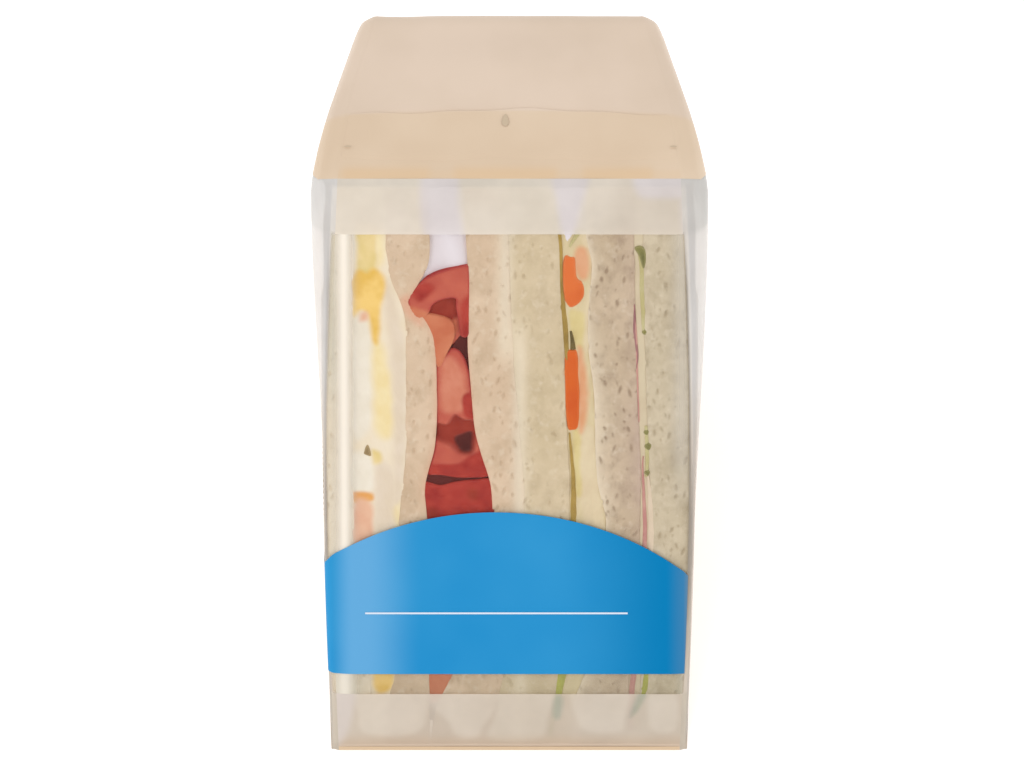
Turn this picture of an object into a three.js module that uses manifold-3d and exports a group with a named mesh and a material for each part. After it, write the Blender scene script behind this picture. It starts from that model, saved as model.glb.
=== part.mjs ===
// A sealed film pack of triangular sandwiches, lying back on the lower short side of its slices.
// Millimetres, +Z up. The cut face leans back at 45 degrees and looks up towards -Y.
// The origin is under the middle of the pack, on the surface that it rests on.
//
// The section is worked out in the plane of the slices: v runs up the cut face from its bottom
// edge, and w runs straight back from the cut face. u runs across the pack, as X does.

import * as THREE from "three";
import { mergeVertices } from "three/addons/utils/BufferGeometryUtils.js";
import Module from "manifold-3d";

// Driving dimensions
const SLICE_SIDE = 105; // short sides of the halved slices
const LEAN = Math.PI / 4; // the cut face against the surface under the pack
const HALF_WIDTH = 41.5; // half the stack of slices, at the top and bottom edges
const MIDDLE_SWELL = 1.9; // what each end stands out further, half way up
const BACK_TAPER = 1.4; // what each end draws in towards the back corner
const ROOF_LENGTH = 46.9; // the empty film above the slices, from the top edge to its ridge
const ROOF_TURN = THREE.MathUtils.degToRad(55.2); // how far the roof turns back from the cut face
const EDGE_ROUND = 1.6; // round fold between the panels and the ends
const CORNER_ROOM = 0.3; // share of the way to the sharp bottom corner that the fold may take

// Round corners of the section
const BOTTOM_ROUND = 0.8;
const TOP_ROUND = 6;
const RIDGE_ROUND = 5;
const BACK_ROUND = 6;

// Roof: it narrows towards the ridge, is puffed a little, and its ends are tucked in
const ROOF_NARROWING = 0.1; // per mm behind the slices
const ROOF_NARROWING_GROWTH = 0.0026; // per mm squared
const ROOF_CROWN = 2.2;
const CROWN_RAMP = 22;
const RIDGE_CROWN = 0.4; // what is left of the puff at the ridge, which is taut
const RIDGE_TAUT = 18; // how far from the ridge the film is taut
const TUCK_DEPTH = 5;
const TUCK_FROM = 3; // the hollow starts about this far in from the folds
const TUCK_TO = 11;
const TUCK_BEHIND = 19; // it has its whole depth this far behind the slices
const RIDGE_CORNER = 0.7; // rounding of the ridge's two ends, seen from the front
const RIDGE_CORNER_REACH = 8; // from the ridge

// Loose film that stands out beside the slices, near the top edge
const FLARE = 4.8;
const FLARE_BEHIND = 7; // how far behind the panel it is widest
const FLARE_AT_RIDGE = 0.6; // share of it that is left at the ridge
const FLARE_RANGE = { left: [66, 158], right: [50, 158] }; // it grows between these places on v

// Seal fin, folded forward flat on each end
const FIN = { from: 36, to: 108, front: 22, back: 32, proud: 0.8 };

// Lap seam of the film across the roof
const LAP = { from: 4, to: 17.2, proud: 0.5, inset: 3 };

// Mesh density
const CORNER_STEPS = 5;
const STRAIGHT_STEP = 5;
const PANEL_STEPS = 12;
const END_RINGS = [0.05, 0.11, 0.18, 0.26, 0.36, 0.48, 0.62, 0.8];
const PAD_STEPS = 10;
const SUNK = 0.8; // how deep the seam and fins reach into the body they are joined to
const MERGE_WITHIN = 1e-4;

// Corners of the section before rounding, and the middle of its ends
const CUT_FACE = SLICE_SIDE * Math.SQRT2;
const BOTTOM = new THREE.Vector2(0, 0);
const TOP = new THREE.Vector2(CUT_FACE, 0);
const ROOF_WAY = new THREE.Vector2(Math.cos(ROOF_TURN), Math.sin(ROOF_TURN));
const RIDGE = TOP.clone().addScaledVector(ROOF_WAY, ROOF_LENGTH);
const BACK = new THREE.Vector2(CUT_FACE / 2, CUT_FACE / 2);
const HUB = new THREE.Vector2(CUT_FACE * 0.6, CUT_FACE * 0.19);
const BACK_WAY = RIDGE.clone().sub(BACK).normalize();

const FILM_COLOUR = 0xdfcdb0;

const { smoothstep, clamp } = THREE.MathUtils;

// How far a point of the section lies behind the slices' upper short side.
function behindSlices(p) {
  return (p.x + p.y - CUT_FACE) / Math.SQRT2;
}

// Depths of a point below the roof panel and in front of the back panel.
function belowRoof(p) {
  const from = p.clone().sub(TOP);
  return from.y * ROOF_WAY.x - from.x * ROOF_WAY.y;
}

function beforeBack(p) {
  const from = p.clone().sub(BACK);
  return from.x * BACK_WAY.y * -1 + from.y * BACK_WAY.x;
}

// Half width of the stack and of the roof where their folds are.
function foldHalfWidth(p) {
  const up = clamp(p.x / CUT_FACE, 0, 1);
  const stack = HALF_WIDTH + MIDDLE_SWELL * Math.sin(Math.PI * up);
  const taper = BACK_TAPER * (p.y / BACK.y) ** 2;
  const behind = Math.max(behindSlices(p), 0);
  const narrowing = (ROOF_NARROWING + ROOF_NARROWING_GROWTH * behind) * behind;
  const corner = RIDGE_CORNER * (1 - smoothstep(p.distanceTo(RIDGE), 2, RIDGE_CORNER_REACH));
  return stack - Math.min(taper, BACK_TAPER) - narrowing - corner;
}

// How far the film behind the slices is puffed out, half way across.
function crown(p) {
  const slack = smoothstep(p.distanceTo(RIDGE), RIDGE_ROUND, RIDGE_TAUT);
  const most = RIDGE_CROWN + (ROOF_CROWN - RIDGE_CROWN) * slack;
  return most * smoothstep(behindSlices(p), 0, CROWN_RAMP);
}

// Extra width of the loose film. side is left or right.
function flare(p, side) {
  const [from, to] = FLARE_RANGE[side];
  const depth = Math.max(Math.min(p.y, Math.abs(belowRoof(p))), 0) / FLARE_BEHIND;
  const ridgeDepth = behindSlices(RIDGE);
  const upRoof = smoothstep(behindSlices(p), ridgeDepth * 0.1, ridgeDepth * 0.8);
  const share = smoothstep(p.x, from, to) * (1 - (1 - FLARE_AT_RIDGE) * upRoof);
  return FLARE * share * depth * Math.exp(1 - depth);
}

// Hollow of the tucked end of the roof, which fades out towards the roof and the back.
function tuck(p) {
  const below = Math.abs(belowRoof(p));
  const before = Math.abs(beforeBack(p));
  const depth = (below * before) / (below + before + MERGE_WITHIN);
  const roofShare = smoothstep(behindSlices(p), 0, TUCK_BEHIND);
  return TUCK_DEPTH * roofShare * smoothstep(depth, TUCK_FROM, TUCK_TO);
}

// How far the pack's end stands from its middle plane, over a point of the section.
function endPlace(p, side) {
  return foldHalfWidth(p) + flare(p, side) - tuck(p);
}

// The round-cornered section: up the cut face, back over the roof, down the back and forward.
function sectionOutline() {
  const corners = [
    [BOTTOM, BOTTOM_ROUND],
    [TOP, TOP_ROUND],
    [RIDGE, RIDGE_ROUND],
    [BACK, BACK_ROUND],
  ];
  const rounds = corners.map(([corner, radius], i) => {
    const before = corners[(i + 3) % 4][0].clone().sub(corner).normalize();
    const after = corners[(i + 1) % 4][0].clone().sub(corner).normalize();
    const reach = radius / Math.tan(before.angleTo(after) / 2);
    const enter = corner.clone().addScaledVector(before, reach);
    const leave = corner.clone().addScaledVector(after, reach);
    return new THREE.QuadraticBezierCurve(enter, corner, leave);
  });
  return rounds.flatMap((round, i) => {
    const straight = new THREE.LineCurve(round.v2, rounds[(i + 1) % 4].v0);
    const steps = Math.ceil(straight.getLength() / STRAIGHT_STEP);
    return [...round.getPoints(CORNER_STEPS), ...straight.getPoints(steps).slice(1, -1)];
  });
}

// Unit normals of a closed outline, pointing out of it.
function outwardNormals(outline) {
  return outline.map((_, i) => {
    const before = outline[(i + outline.length - 1) % outline.length];
    const after = outline[(i + 1) % outline.length];
    return new THREE.Vector2(before.y - after.y, after.x - before.x).normalize().negate();
  });
}

// From the section's own axes to the mesh's: the cut face is the plane z = 0 and looks along +z.
function toMesh(across, p) {
  return new THREE.Vector3(across, p.x, -p.y);
}

// Loops across the wrapped panels, from the left fold to the right one.
function panelLoops(outline, normals) {
  const loops = [];
  for (let k = 0; k <= PANEL_STEPS; k++) {
    const share = (2 * k) / PANEL_STEPS - 1;
    loops.push(
      outline.map((p, i) => {
        const bowed = p.clone().addScaledVector(normals[i], crown(p) * (1 - share * share));
        return toMesh(share * (foldHalfWidth(p) - EDGE_ROUND), bowed);
      }),
    );
  }
  return loops;
}

// Loops of one end, from its fold inwards.
function endLoops(outline, normals, side) {
  const sign = side === "left" ? -1 : 1;
  const inset = (depth) =>
    outline.map((p, i) => {
      const room = CORNER_ROOM * p.distanceTo(BOTTOM);
      return p.clone().addScaledVector(normals[i], -Math.min(depth, room));
    });
  const over = (loop, lower) =>
    loop.map((p) => toMesh(sign * (endPlace(p, side) - lower), p));
  const rounded = inset(EDGE_ROUND);
  const rings = END_RINGS.map((share) =>
    over(
      rounded.map((p) => p.clone().lerp(HUB, share)),
      0,
    ),
  );
  return [over(inset(EDGE_ROUND * 0.3), EDGE_ROUND * 0.3), over(rounded, 0), ...rings];
}

// A closed mesh through loops of equal length, with a point at each end.
function loftGeometry(start, loops, end) {
  const points = [start, ...loops.flat(), end];
  const size = loops[0].length;
  const index = [];
  for (let i = 0; i < size; i++) {
    const next = (i + 1) % size;
    index.push(0, 1 + i, 1 + next);
    for (let k = 0; k + 1 < loops.length; k++) {
      const a = 1 + k * size;
      const b = a + size;
      index.push(a + i, b + i, a + next, a + next, b + i, b + next);
    }
    const last = 1 + (loops.length - 1) * size;
    index.push(last + next, last + i, points.length - 1);
  }
  const geometry = new THREE.BufferGeometry().setFromPoints(points);
  return geometry.setIndex(index);
}

// The film body with its roof.
function bodyGeometry() {
  const outline = sectionOutline();
  const normals = outwardNormals(outline);
  const hub = (side, sign) => toMesh(sign * endPlace(HUB, side), HUB);
  const loops = [
    ...endLoops(outline, normals, "left").reverse(),
    ...panelLoops(outline, normals),
    ...endLoops(outline, normals, "right"),
  ];
  return loftGeometry(hub("left", -1), loops, hub("right", 1));
}

// A thin pad over a patch of surface: place(a, b, lift) gives its points for a and b from 0 to 1.
function padGeometry(place, proud) {
  const steps = Array.from({ length: PAD_STEPS + 1 }, (_, k) => k / PAD_STEPS);
  const loops = steps.map((a) => [
    place(a, 0, -SUNK),
    place(a, 0, proud),
    place(a, 0.5, proud),
    place(a, 1, proud),
    place(a, 1, -SUNK),
    place(a, 0.5, -SUNK),
  ]);
  const middle = (loop) =>
    loop.reduce((sum, p) => sum.add(p), new THREE.Vector3()).divideScalar(loop.length);
  return loftGeometry(middle(loops[0]), loops, middle(loops.at(-1)));
}

// The seal fin of one end, which follows the end's swell.
function finGeometry(side) {
  const sign = side === "left" ? -1 : 1;
  return padGeometry((a, b, lift) => {
    const v = THREE.MathUtils.lerp(FIN.from, FIN.to, a);
    const w = THREE.MathUtils.lerp(FIN.front, FIN.back, b);
    const p = new THREE.Vector2(v, w);
    return toMesh(sign * (endPlace(p, side) + lift), p);
  }, FIN.proud);
}

// The second layer of film on the lower part of the roof.
function lapGeometry() {
  return padGeometry((a, b, lift) => {
    const up = THREE.MathUtils.lerp(LAP.to, LAP.from, b);
    const p = TOP.clone().addScaledVector(ROOF_WAY, up);
    const share = 2 * a - 1;
    const out = new THREE.Vector2(ROOF_WAY.y, -ROOF_WAY.x);
    const half = foldHalfWidth(p) - LAP.inset;
    const rise = crown(p) * (1 - share * share) + lift;
    return toMesh(share * half, p.clone().addScaledVector(out, rise));
  }, LAP.proud);
}

// A manifold-3d solid of a geometry, turned face out if its loops ran the other way round.
function solidOf(wasm, geometry) {
  const merged = mergeVertices(geometry, MERGE_WITHIN);
  const vertProperties = merged.attributes.position.array;
  const triVerts = new Uint32Array(merged.index.array);
  const solid = new wasm.Manifold(new wasm.Mesh({ numProp: 3, vertProperties, triVerts }));
  if (solid.volume() > 0) return solid;
  triVerts.reverse();
  return new wasm.Manifold(new wasm.Mesh({ numProp: 3, vertProperties, triVerts }));
}

function geometryOf(solid) {
  const mesh = solid.getMesh();
  const position = new THREE.BufferAttribute(mesh.vertProperties.slice(), mesh.numProp);
  const geometry = new THREE.BufferGeometry().setAttribute("position", position);
  return geometry.setIndex(new THREE.BufferAttribute(mesh.triVerts.slice(), 1));
}

// The whole pack as one closed body: film, seam and seal fins.
async function packGeometry() {
  const wasm = await Module();
  wasm.setup();
  const pads = [lapGeometry(), finGeometry("left"), finGeometry("right")];
  let solid = solidOf(wasm, bodyGeometry());
  for (const pad of pads) solid = solid.add(solidOf(wasm, pad));
  const geometry = geometryOf(solid);
  geometry.computeVertexNormals();
  return geometry;
}

const film = new THREE.MeshStandardMaterial({
  color: FILM_COLOUR,
  roughness: 0.42,
  metalness: 0,
});
const sealedPack = new THREE.Mesh(await packGeometry(), film);
sealedPack.name = "sealed_pack";
sealedPack.rotation.x = LEAN;

const sandwichPack = new THREE.Group();
sandwichPack.add(sealedPack);
sandwichPack.updateMatrixWorld(true);

// The origin goes under the middle of the pack.
const box = new THREE.Box3().setFromObject(sealedPack, true);
const centre = box.getCenter(new THREE.Vector3());
sealedPack.position.set(-centre.x, -centre.y, -box.min.z);

export default sandwichPack;
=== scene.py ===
"""A sealed film pack of triangular sandwiches: the film, its print, and the slices and fillings inside.

Sizes are in millimetres of the pack's own section: v runs up the cut face from its bottom edge,
w straight back from the cut face, and u across the stack of slices, as X does.
"""

import math

import bpy
import numpy as np
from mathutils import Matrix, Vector
from mathutils.geometry import delaunay_2d_cdt

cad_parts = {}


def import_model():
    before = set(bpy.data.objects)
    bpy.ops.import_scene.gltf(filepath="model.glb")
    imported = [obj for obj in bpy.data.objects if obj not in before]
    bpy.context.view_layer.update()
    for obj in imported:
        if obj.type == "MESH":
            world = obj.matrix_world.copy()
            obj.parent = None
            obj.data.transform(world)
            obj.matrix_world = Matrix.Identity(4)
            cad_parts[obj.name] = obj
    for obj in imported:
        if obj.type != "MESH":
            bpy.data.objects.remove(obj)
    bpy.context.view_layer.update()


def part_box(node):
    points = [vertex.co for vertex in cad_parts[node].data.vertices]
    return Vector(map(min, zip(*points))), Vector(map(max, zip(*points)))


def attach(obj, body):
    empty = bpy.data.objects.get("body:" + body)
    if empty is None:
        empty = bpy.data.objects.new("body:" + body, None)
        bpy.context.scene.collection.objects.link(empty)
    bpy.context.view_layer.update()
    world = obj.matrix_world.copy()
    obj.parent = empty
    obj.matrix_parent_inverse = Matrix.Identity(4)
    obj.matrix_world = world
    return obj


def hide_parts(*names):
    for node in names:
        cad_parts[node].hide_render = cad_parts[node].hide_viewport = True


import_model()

MM = 0.001
NODE = "sealed_pack"
BODY = "root"

# The pack's form. It is its solid's, with the corners of the ridge squared up by up to 1.5 mm
SLICE_SIDE = 105
CUT = SLICE_SIDE * math.sqrt(2)
HALF_WIDTH = 41.5
MIDDLE_SWELL = 1.9
BACK_TAPER = 1.4
ROOF_LENGTH = 46.9
ROOF_TURN = math.radians(55.2)
EDGE_ROUND = 1.6
CORNER_ROOM = 0.3
BOTTOM_ROUND = 0.8
TOP_ROUND = 6
RIDGE_ROUND = 5
BACK_ROUND = 6
ROOF_NARROWING = 0.1
ROOF_NARROWING_GROWTH = 0.0026
ROOF_CROWN = 2.2
CROWN_RAMP = 22
RIDGE_CROWN = 0.4
RIDGE_TAUT = 18
TUCK_DEPTH = 5
TUCK_RANGE = (3, 11)
TUCK_BEHIND = 19
RIDGE_CORNER = 0.8  # extra half width at the ridge
RIDGE_CORNER_RANGE = (2, 8)  # how far from the ridge it fades out
FLARE = 4.8
FLARE_BEHIND = 7
FLARE_AT_RIDGE = 0.6
FLARE_AT_CORNER = 0.5
FLARE_UP_ROOF = np.array([0.1, 0.8])  # it fades over this part of the roof
FLARE_RANGE = {"left": (66, 158), "right": (50, 158)}
# The seal fins: their place on v and w, and how they wave, lie off the ends and are crimped
FIN = {"from": 36, "to": 108, "front": 22, "back": 32, "wave": 0.5,
       "lift": 0.16, "raised": 0.24, "crimp": 0.06, "pitch": 1.5}
# The lap: its place up the roof, and how it comes up out of the roof's film and ends in a step
LAP = {"from": 3.3, "to": 17.2, "rise": 3, "proud": 0.18, "inset": 0.2, "sunk": 0.7,
       "fade": (4, 12), "clear": 0.03, "step": 0.02}
LAP_WAVES = ((0.35, 5, 1), (0.2, 13, 0))  # of its edge: how high, how close together and their start
SIGN = {"left": -1, "right": 1}

BOTTOM = np.array([0.0, 0.0])
TOP = np.array([CUT, 0.0])
ROOF_WAY = np.array([math.cos(ROOF_TURN), math.sin(ROOF_TURN)])
ROOF_OUT = np.array([ROOF_WAY[1], -ROOF_WAY[0]])
RIDGE = TOP + ROOF_WAY * ROOF_LENGTH
BACK = np.array([CUT / 2, CUT / 2])
BACK_WAY = (RIDGE - BACK) / np.linalg.norm(RIDGE - BACK)

# The film's mesh, its dents and what lies on it
FILM_STEP = 0.7
CORNER_STEPS = 12
RIPPLES = 7
RIPPLE_LENGTH = 46  # of the longest dents
BEIGE_FLAP_LIFT = 0.1
MARK_LIFT = 0.25
PRINT_LIFT = 0.12
RULE_LIFT = 0.2

# Print on the film, up the cut face
BASE_LIP = 1.9  # the base's film comes up this far on the cut face
FROST_LOW = 15.5
FROST_HIGH = 134.1
LABEL_LOW = 20.8
LABEL_TOP = 62.7
LABEL_ARCH = 70.4  # radius of the label's arched top
LABEL_MIDDLE = -3.2
LABEL_HALF = 43.1
LABEL_CORNER = 2.8  # the arch drops faster over this width beside each fold
LABEL_CORNER_DROP = 1.5
LABEL_SHORT = 1.35  # on the right the label ends at the fold
LABEL_GLARE = ((-42, -36.5), (-34, -20), 0.95)  # where its stretch of painted glare comes up and goes, and how pale it is
LABEL_DEEP = (8, 40)  # it gets deeper to the right
LABEL_DEEP_LEFT, LABEL_DEEP_END = 0.12, 0.5
RULE_AT = 36.6
RULE_FROM, RULE_TO = -33.7, 27.7
RULE_WIDTH = 0.45

# Film that bows back beside the two folds of the cut face: depth, and how wide the bow is
BOWS = {"left": (1.0, 6.5), "right": (0.6, 5.0)}
BOW_ENDS = (3, 14)  # it fades out towards the top and the bottom of the cut face
BOW_BEHIND = 9

# The contents
FOOD_RISE = 1.15  # its places were read from the photo with the pack's bottom edge this much higher
FILM_GAP = 0.45  # cut faces behind the film
LEG_GAP = 0.5  # slices above the base and below the roof
BACK_GAP = 2.4  # slices before the pack's back corner
END_GAP = 0.5  # slices inside the two ends
CRUMB_STEP = 0.27  # mesh size of the cut bread
SIDE_STEPS = np.array([[0.12, 0.35, 0.65, 1.0]])  # mesh of a layer's sides, as shares of their depth
RIM_WIDTH = 0.8  # how far in a piece's rim has its own colour
DOME_REACH = 3
RIBBON_DEPTH = 5.0
LIT_LINING_UNDER = 0.3  # lit linings go in under the bread by this much

# Maps over the cut face, in mm
MAP_STEP = 0.2
MAP_WIDTH = 90
MAP_HEIGHT = CUT + 4
MAP_SHAPE = (int(MAP_WIDTH / MAP_STEP), int(MAP_HEIGHT / MAP_STEP))
PORES = 3800
PORE_SEED = 13
PIT_DEPTH = 0.3  # pores of this depth have their full painted shade

# Camera, in the photo's frame
PHOTO_WIDTH, PHOTO_HEIGHT = 1024, 764
PHOTO_MM_PER_PIXEL = 0.2331
PHOTO_MIDDLE_X, PHOTO_BOTTOM_Y = 509.2, 756
CAMERA_TURN = 25.1  # degrees above the cut face's own normal
CAMERA_DISTANCE = 7.0
CAMERA_CLIP_END = 30
SENSOR_WIDTH = 36

# World place of the section's lowest corner
LOW_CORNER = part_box(NODE)[0]
BOTTOM_Y = LOW_CORNER[1] / MM - BOTTOM_ROUND


def world(u, v, w):
    """Points of the section frame, in metres of the row's frame."""
    u, v, w = np.broadcast_arrays(u, v, w)
    y = BOTTOM_Y + (v + w) / math.sqrt(2)
    z = (v - w) / math.sqrt(2)
    return np.stack([u, y, z], axis=-1) * MM


def smoothstep(x, low, high):
    """0 below low, rising smoothly to 1 at high."""
    t = np.clip((np.asarray(x, float) - low) / (high - low), 0, 1)
    return t * t * (3 - 2 * t)


def fade(x, low, high):
    """1 below low, falling smoothly to 0 at high."""
    return 1 - smoothstep(x, low, high)


def column(low, high, count):
    return np.linspace(low, high, count)[:, None]


def row(low, high, count):
    return np.linspace(low, high, count)[None, :]


# The pack's form, as functions of the section


def behind_slices(p):
    """How far places lie past the plane of the slices' upper leg."""
    return (p[..., 0] + p[..., 1] - CUT) / math.sqrt(2)


def from_line(p, start, way):
    """Distance of places from a line of the section."""
    off = p - start
    return np.abs(off[..., 1] * way[0] - off[..., 0] * way[1])


def from_ridge(p):
    return np.linalg.norm(p - RIDGE, axis=-1)


def fold_half_width(p):
    """Half the pack's width where its panels fold into the ends."""
    up = np.clip(p[..., 0] / CUT, 0, 1)
    stack = HALF_WIDTH + MIDDLE_SWELL * np.sin(math.pi * up)
    taper = np.minimum(BACK_TAPER * (p[..., 1] / BACK[1]) ** 2, BACK_TAPER)
    behind = np.maximum(behind_slices(p), 0)
    narrowing = (ROOF_NARROWING + ROOF_NARROWING_GROWTH * behind) * behind
    return stack - taper - narrowing + RIDGE_CORNER * fade(from_ridge(p), *RIDGE_CORNER_RANGE)


def crown(p):
    """How far the film behind the slices is puffed out, half way across."""
    slack = smoothstep(from_ridge(p), RIDGE_ROUND, RIDGE_TAUT)
    most = RIDGE_CROWN + (ROOF_CROWN - RIDGE_CROWN) * slack
    return most * smoothstep(behind_slices(p), 0, CROWN_RAMP)


def flare(p, side):
    """Extra width of the loose film near the top edge."""
    depth = np.maximum(np.minimum(p[..., 1], from_line(p, TOP, ROOF_WAY)), 0) / FLARE_BEHIND
    up_roof = smoothstep(behind_slices(p), *(behind_slices(RIDGE) * FLARE_UP_ROOF))
    share = smoothstep(p[..., 0], *FLARE_RANGE[side]) * (1 - (1 - FLARE_AT_RIDGE) * up_roof)
    corner = smoothstep(from_ridge(p), *RIDGE_CORNER_RANGE)
    share = share * (FLARE_AT_CORNER + (1 - FLARE_AT_CORNER) * corner)
    return FLARE * share * depth * np.exp(1 - depth)


def tuck(p):
    """Hollow of the tucked ends of the roof, which fades out towards the roof and the back."""
    below, before = from_line(p, TOP, ROOF_WAY), from_line(p, BACK, BACK_WAY)
    depth = below * before / (below + before + 1e-4)
    return TUCK_DEPTH * smoothstep(behind_slices(p), 0, TUCK_BEHIND) * smoothstep(depth, *TUCK_RANGE)


def end_place(p, side, depth=EDGE_ROUND):
    """Where the end lies; at depth 0, on the fold, it meets the wrapped panels."""
    return fold_half_width(p) + (flare(p, side) - tuck(p)) * smoothstep(depth, 0, EDGE_ROUND)


def rounded_in(depth, radius=EDGE_ROUND):
    """How far a rounded edge lies back, that far in from it."""
    return radius * (1 - np.sqrt(1 - np.clip(1 - depth / radius, 0, 1) ** 2))


def bow(u, v):
    """How far the front film lies back beside its folds."""
    half = fold_half_width(np.stack([v + 0 * u, 0 * (v + u)], axis=-1))
    total = 0
    for side, (depth, width) in BOWS.items():
        total = total + depth * np.clip((SIGN[side] * u - (half - width)) / width, 0, 1) ** 2
    return total * smoothstep(v, *BOW_ENDS) * smoothstep(CUT - v, *BOW_ENDS)


def film_world(u, v, w):
    """Points of the film, with the bow beside the front folds."""
    return world(u, v, w + bow(u, v) * fade(w, 0, BOW_BEHIND))


def corner_curve(corner, before, after, radius):
    """A rounded corner of the section, in two halves that share its middle point."""
    to_before = (before - corner) / np.linalg.norm(before - corner)
    to_after = (after - corner) / np.linalg.norm(after - corner)
    reach = radius / math.tan(math.acos(float(to_before @ to_after)) / 2)
    enter, leave = corner + to_before * reach, corner + to_after * reach
    t = column(0, 1, 2 * CORNER_STEPS + 1)
    curve = (1 - t) ** 2 * enter + 2 * t * (1 - t) * corner + t**2 * leave
    return curve[: CORNER_STEPS + 1], curve[CORNER_STEPS:]


def section_panels():
    """The outline's four panels, each from the middle of one round corner to that of the next."""
    corners = [(BOTTOM, BOTTOM_ROUND), (TOP, TOP_ROUND), (RIDGE, RIDGE_ROUND), (BACK, BACK_ROUND)]
    curves = [corner_curve(corner, corners[k - 1][0], corners[(k + 1) % 4][0], radius)
              for k, (corner, radius) in enumerate(corners)]
    panels = {}
    for k, name in enumerate(("front", "roof", "back", "base")):
        start, stop = curves[k][1], curves[(k + 1) % 4][0]
        way = stop[0] - start[-1]
        count = max(int(np.linalg.norm(way) / FILM_STEP), 2)
        panels[name] = np.concatenate([start, start[-1] + column(0, 1, count + 1)[1:-1] * way, stop])
    return panels


def outward(line):
    """Unit normals of a line of places; along the outline they point out of the section."""
    way = np.gradient(line, axis=0)
    way /= np.linalg.norm(way, axis=1, keepdims=True)
    return np.stack([way[:, 1], -way[:, 0]], axis=1)


def distances(line):
    """How far each place of a line lies from its start."""
    return np.concatenate([[0], np.cumsum(np.linalg.norm(np.diff(line, axis=0), axis=1))])


# Meshes


def add_mesh(name, points, faces, looks, **fields):
    """A piece from points in metres and faces, with a field of numbers on its points for each name."""
    mesh = bpy.data.meshes.new(name)
    mesh.from_pydata(points.reshape(-1, 3).tolist(), [], faces)
    for key, values in fields.items():
        layer = mesh.attributes.new(key, "FLOAT", "POINT")
        layer.data.foreach_set("value", np.asarray(values, float).ravel())
    mesh.polygons.foreach_set("use_smooth", [True] * len(mesh.polygons))
    mesh.update()
    piece = bpy.data.objects.new(name, mesh)
    bpy.context.scene.collection.objects.link(piece)
    mesh.materials.append(looks.material)
    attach(piece, BODY)
    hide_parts(NODE)


def grid_faces(rows, columns, ring=False):
    """Quads of a grid of points; ring closes each row on itself."""
    across = columns if ring else columns - 1
    i, j = np.meshgrid(np.arange(rows - 1), np.arange(across), indexing="ij")
    a = i * columns + j
    b = i * columns + (j + 1) % columns
    return np.stack([a, a + columns, b + columns, b], axis=-1).reshape(-1, 4).tolist()


def add_grid(name, points, looks, **fields):
    """A piece from rows and columns of points."""
    add_mesh(name, points, grid_faces(*points.shape[:2]), looks, **fields)


def lofted(loops):
    """Points and faces of a closed body through loops of equal length, closed by fans."""
    rows, columns = loops.shape[:2]
    points = np.concatenate([loops.reshape(-1, 3), loops[0].mean(0)[None], loops[-1].mean(0)[None]])
    faces = grid_faces(rows, columns, ring=True)
    first, last = rows * columns, rows * columns + 1
    tail = (rows - 1) * columns
    for j in range(columns):
        k = (j + 1) % columns
        faces.append([first, j, k])
        faces.append([last, tail + k, tail + j])
    return points, faces


def with_ends(values):
    """A field of a loft's loops, with 0 at the two points that close it."""
    return np.concatenate([np.asarray(values, float).ravel(), [0, 0]])


def smoothed(values, width):
    """values blurred along their first axis by a bell of that many samples."""
    reach = int(3 * width) + 1
    bell = np.exp(-0.5 * (np.arange(-reach, reach + 1) / width) ** 2)
    bell /= bell.sum()
    padded = np.pad(values, [(reach, reach)] + [(0, 0)] * (values.ndim - 1), mode="edge")
    return np.apply_along_axis(lambda line: np.convolve(line, bell, mode="valid"), 0, padded)


def soft_noise(shape, width, seed):
    """A field of smooth random bumps, about -1 to 1, with bumps about that many samples wide."""
    field = np.random.default_rng(seed).standard_normal(shape)
    field = smoothed(smoothed(field, width).T, width).T
    return field / (np.abs(field).max() + 1e-9)


def sample(field, u, v):
    """A map of the cut face read at (u, v), where u = 0 is its middle column."""
    x = np.clip(u / MAP_STEP + field.shape[0] / 2, 0, field.shape[0] - 1.001)
    y = np.clip(v / MAP_STEP, 0, field.shape[1] - 1.001)
    i, j = x.astype(int), y.astype(int)
    fx, fy = x - i, y - j
    low = field[i, j] * (1 - fx) + field[i + 1, j] * fx
    high = field[i, j + 1] * (1 - fx) + field[i + 1, j + 1] * fx
    return low * (1 - fy) + high * fy


# Materials


def srgb(red, green, blue):
    """A colour given as 0 to 255 on a screen, in Blender's linear numbers."""
    def linear(c):
        c /= 255
        return c / 12.92 if c <= 0.04045 else ((c + 0.055) / 1.055) ** 2.4
    return (linear(red), linear(green), linear(blue), 1)


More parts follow.
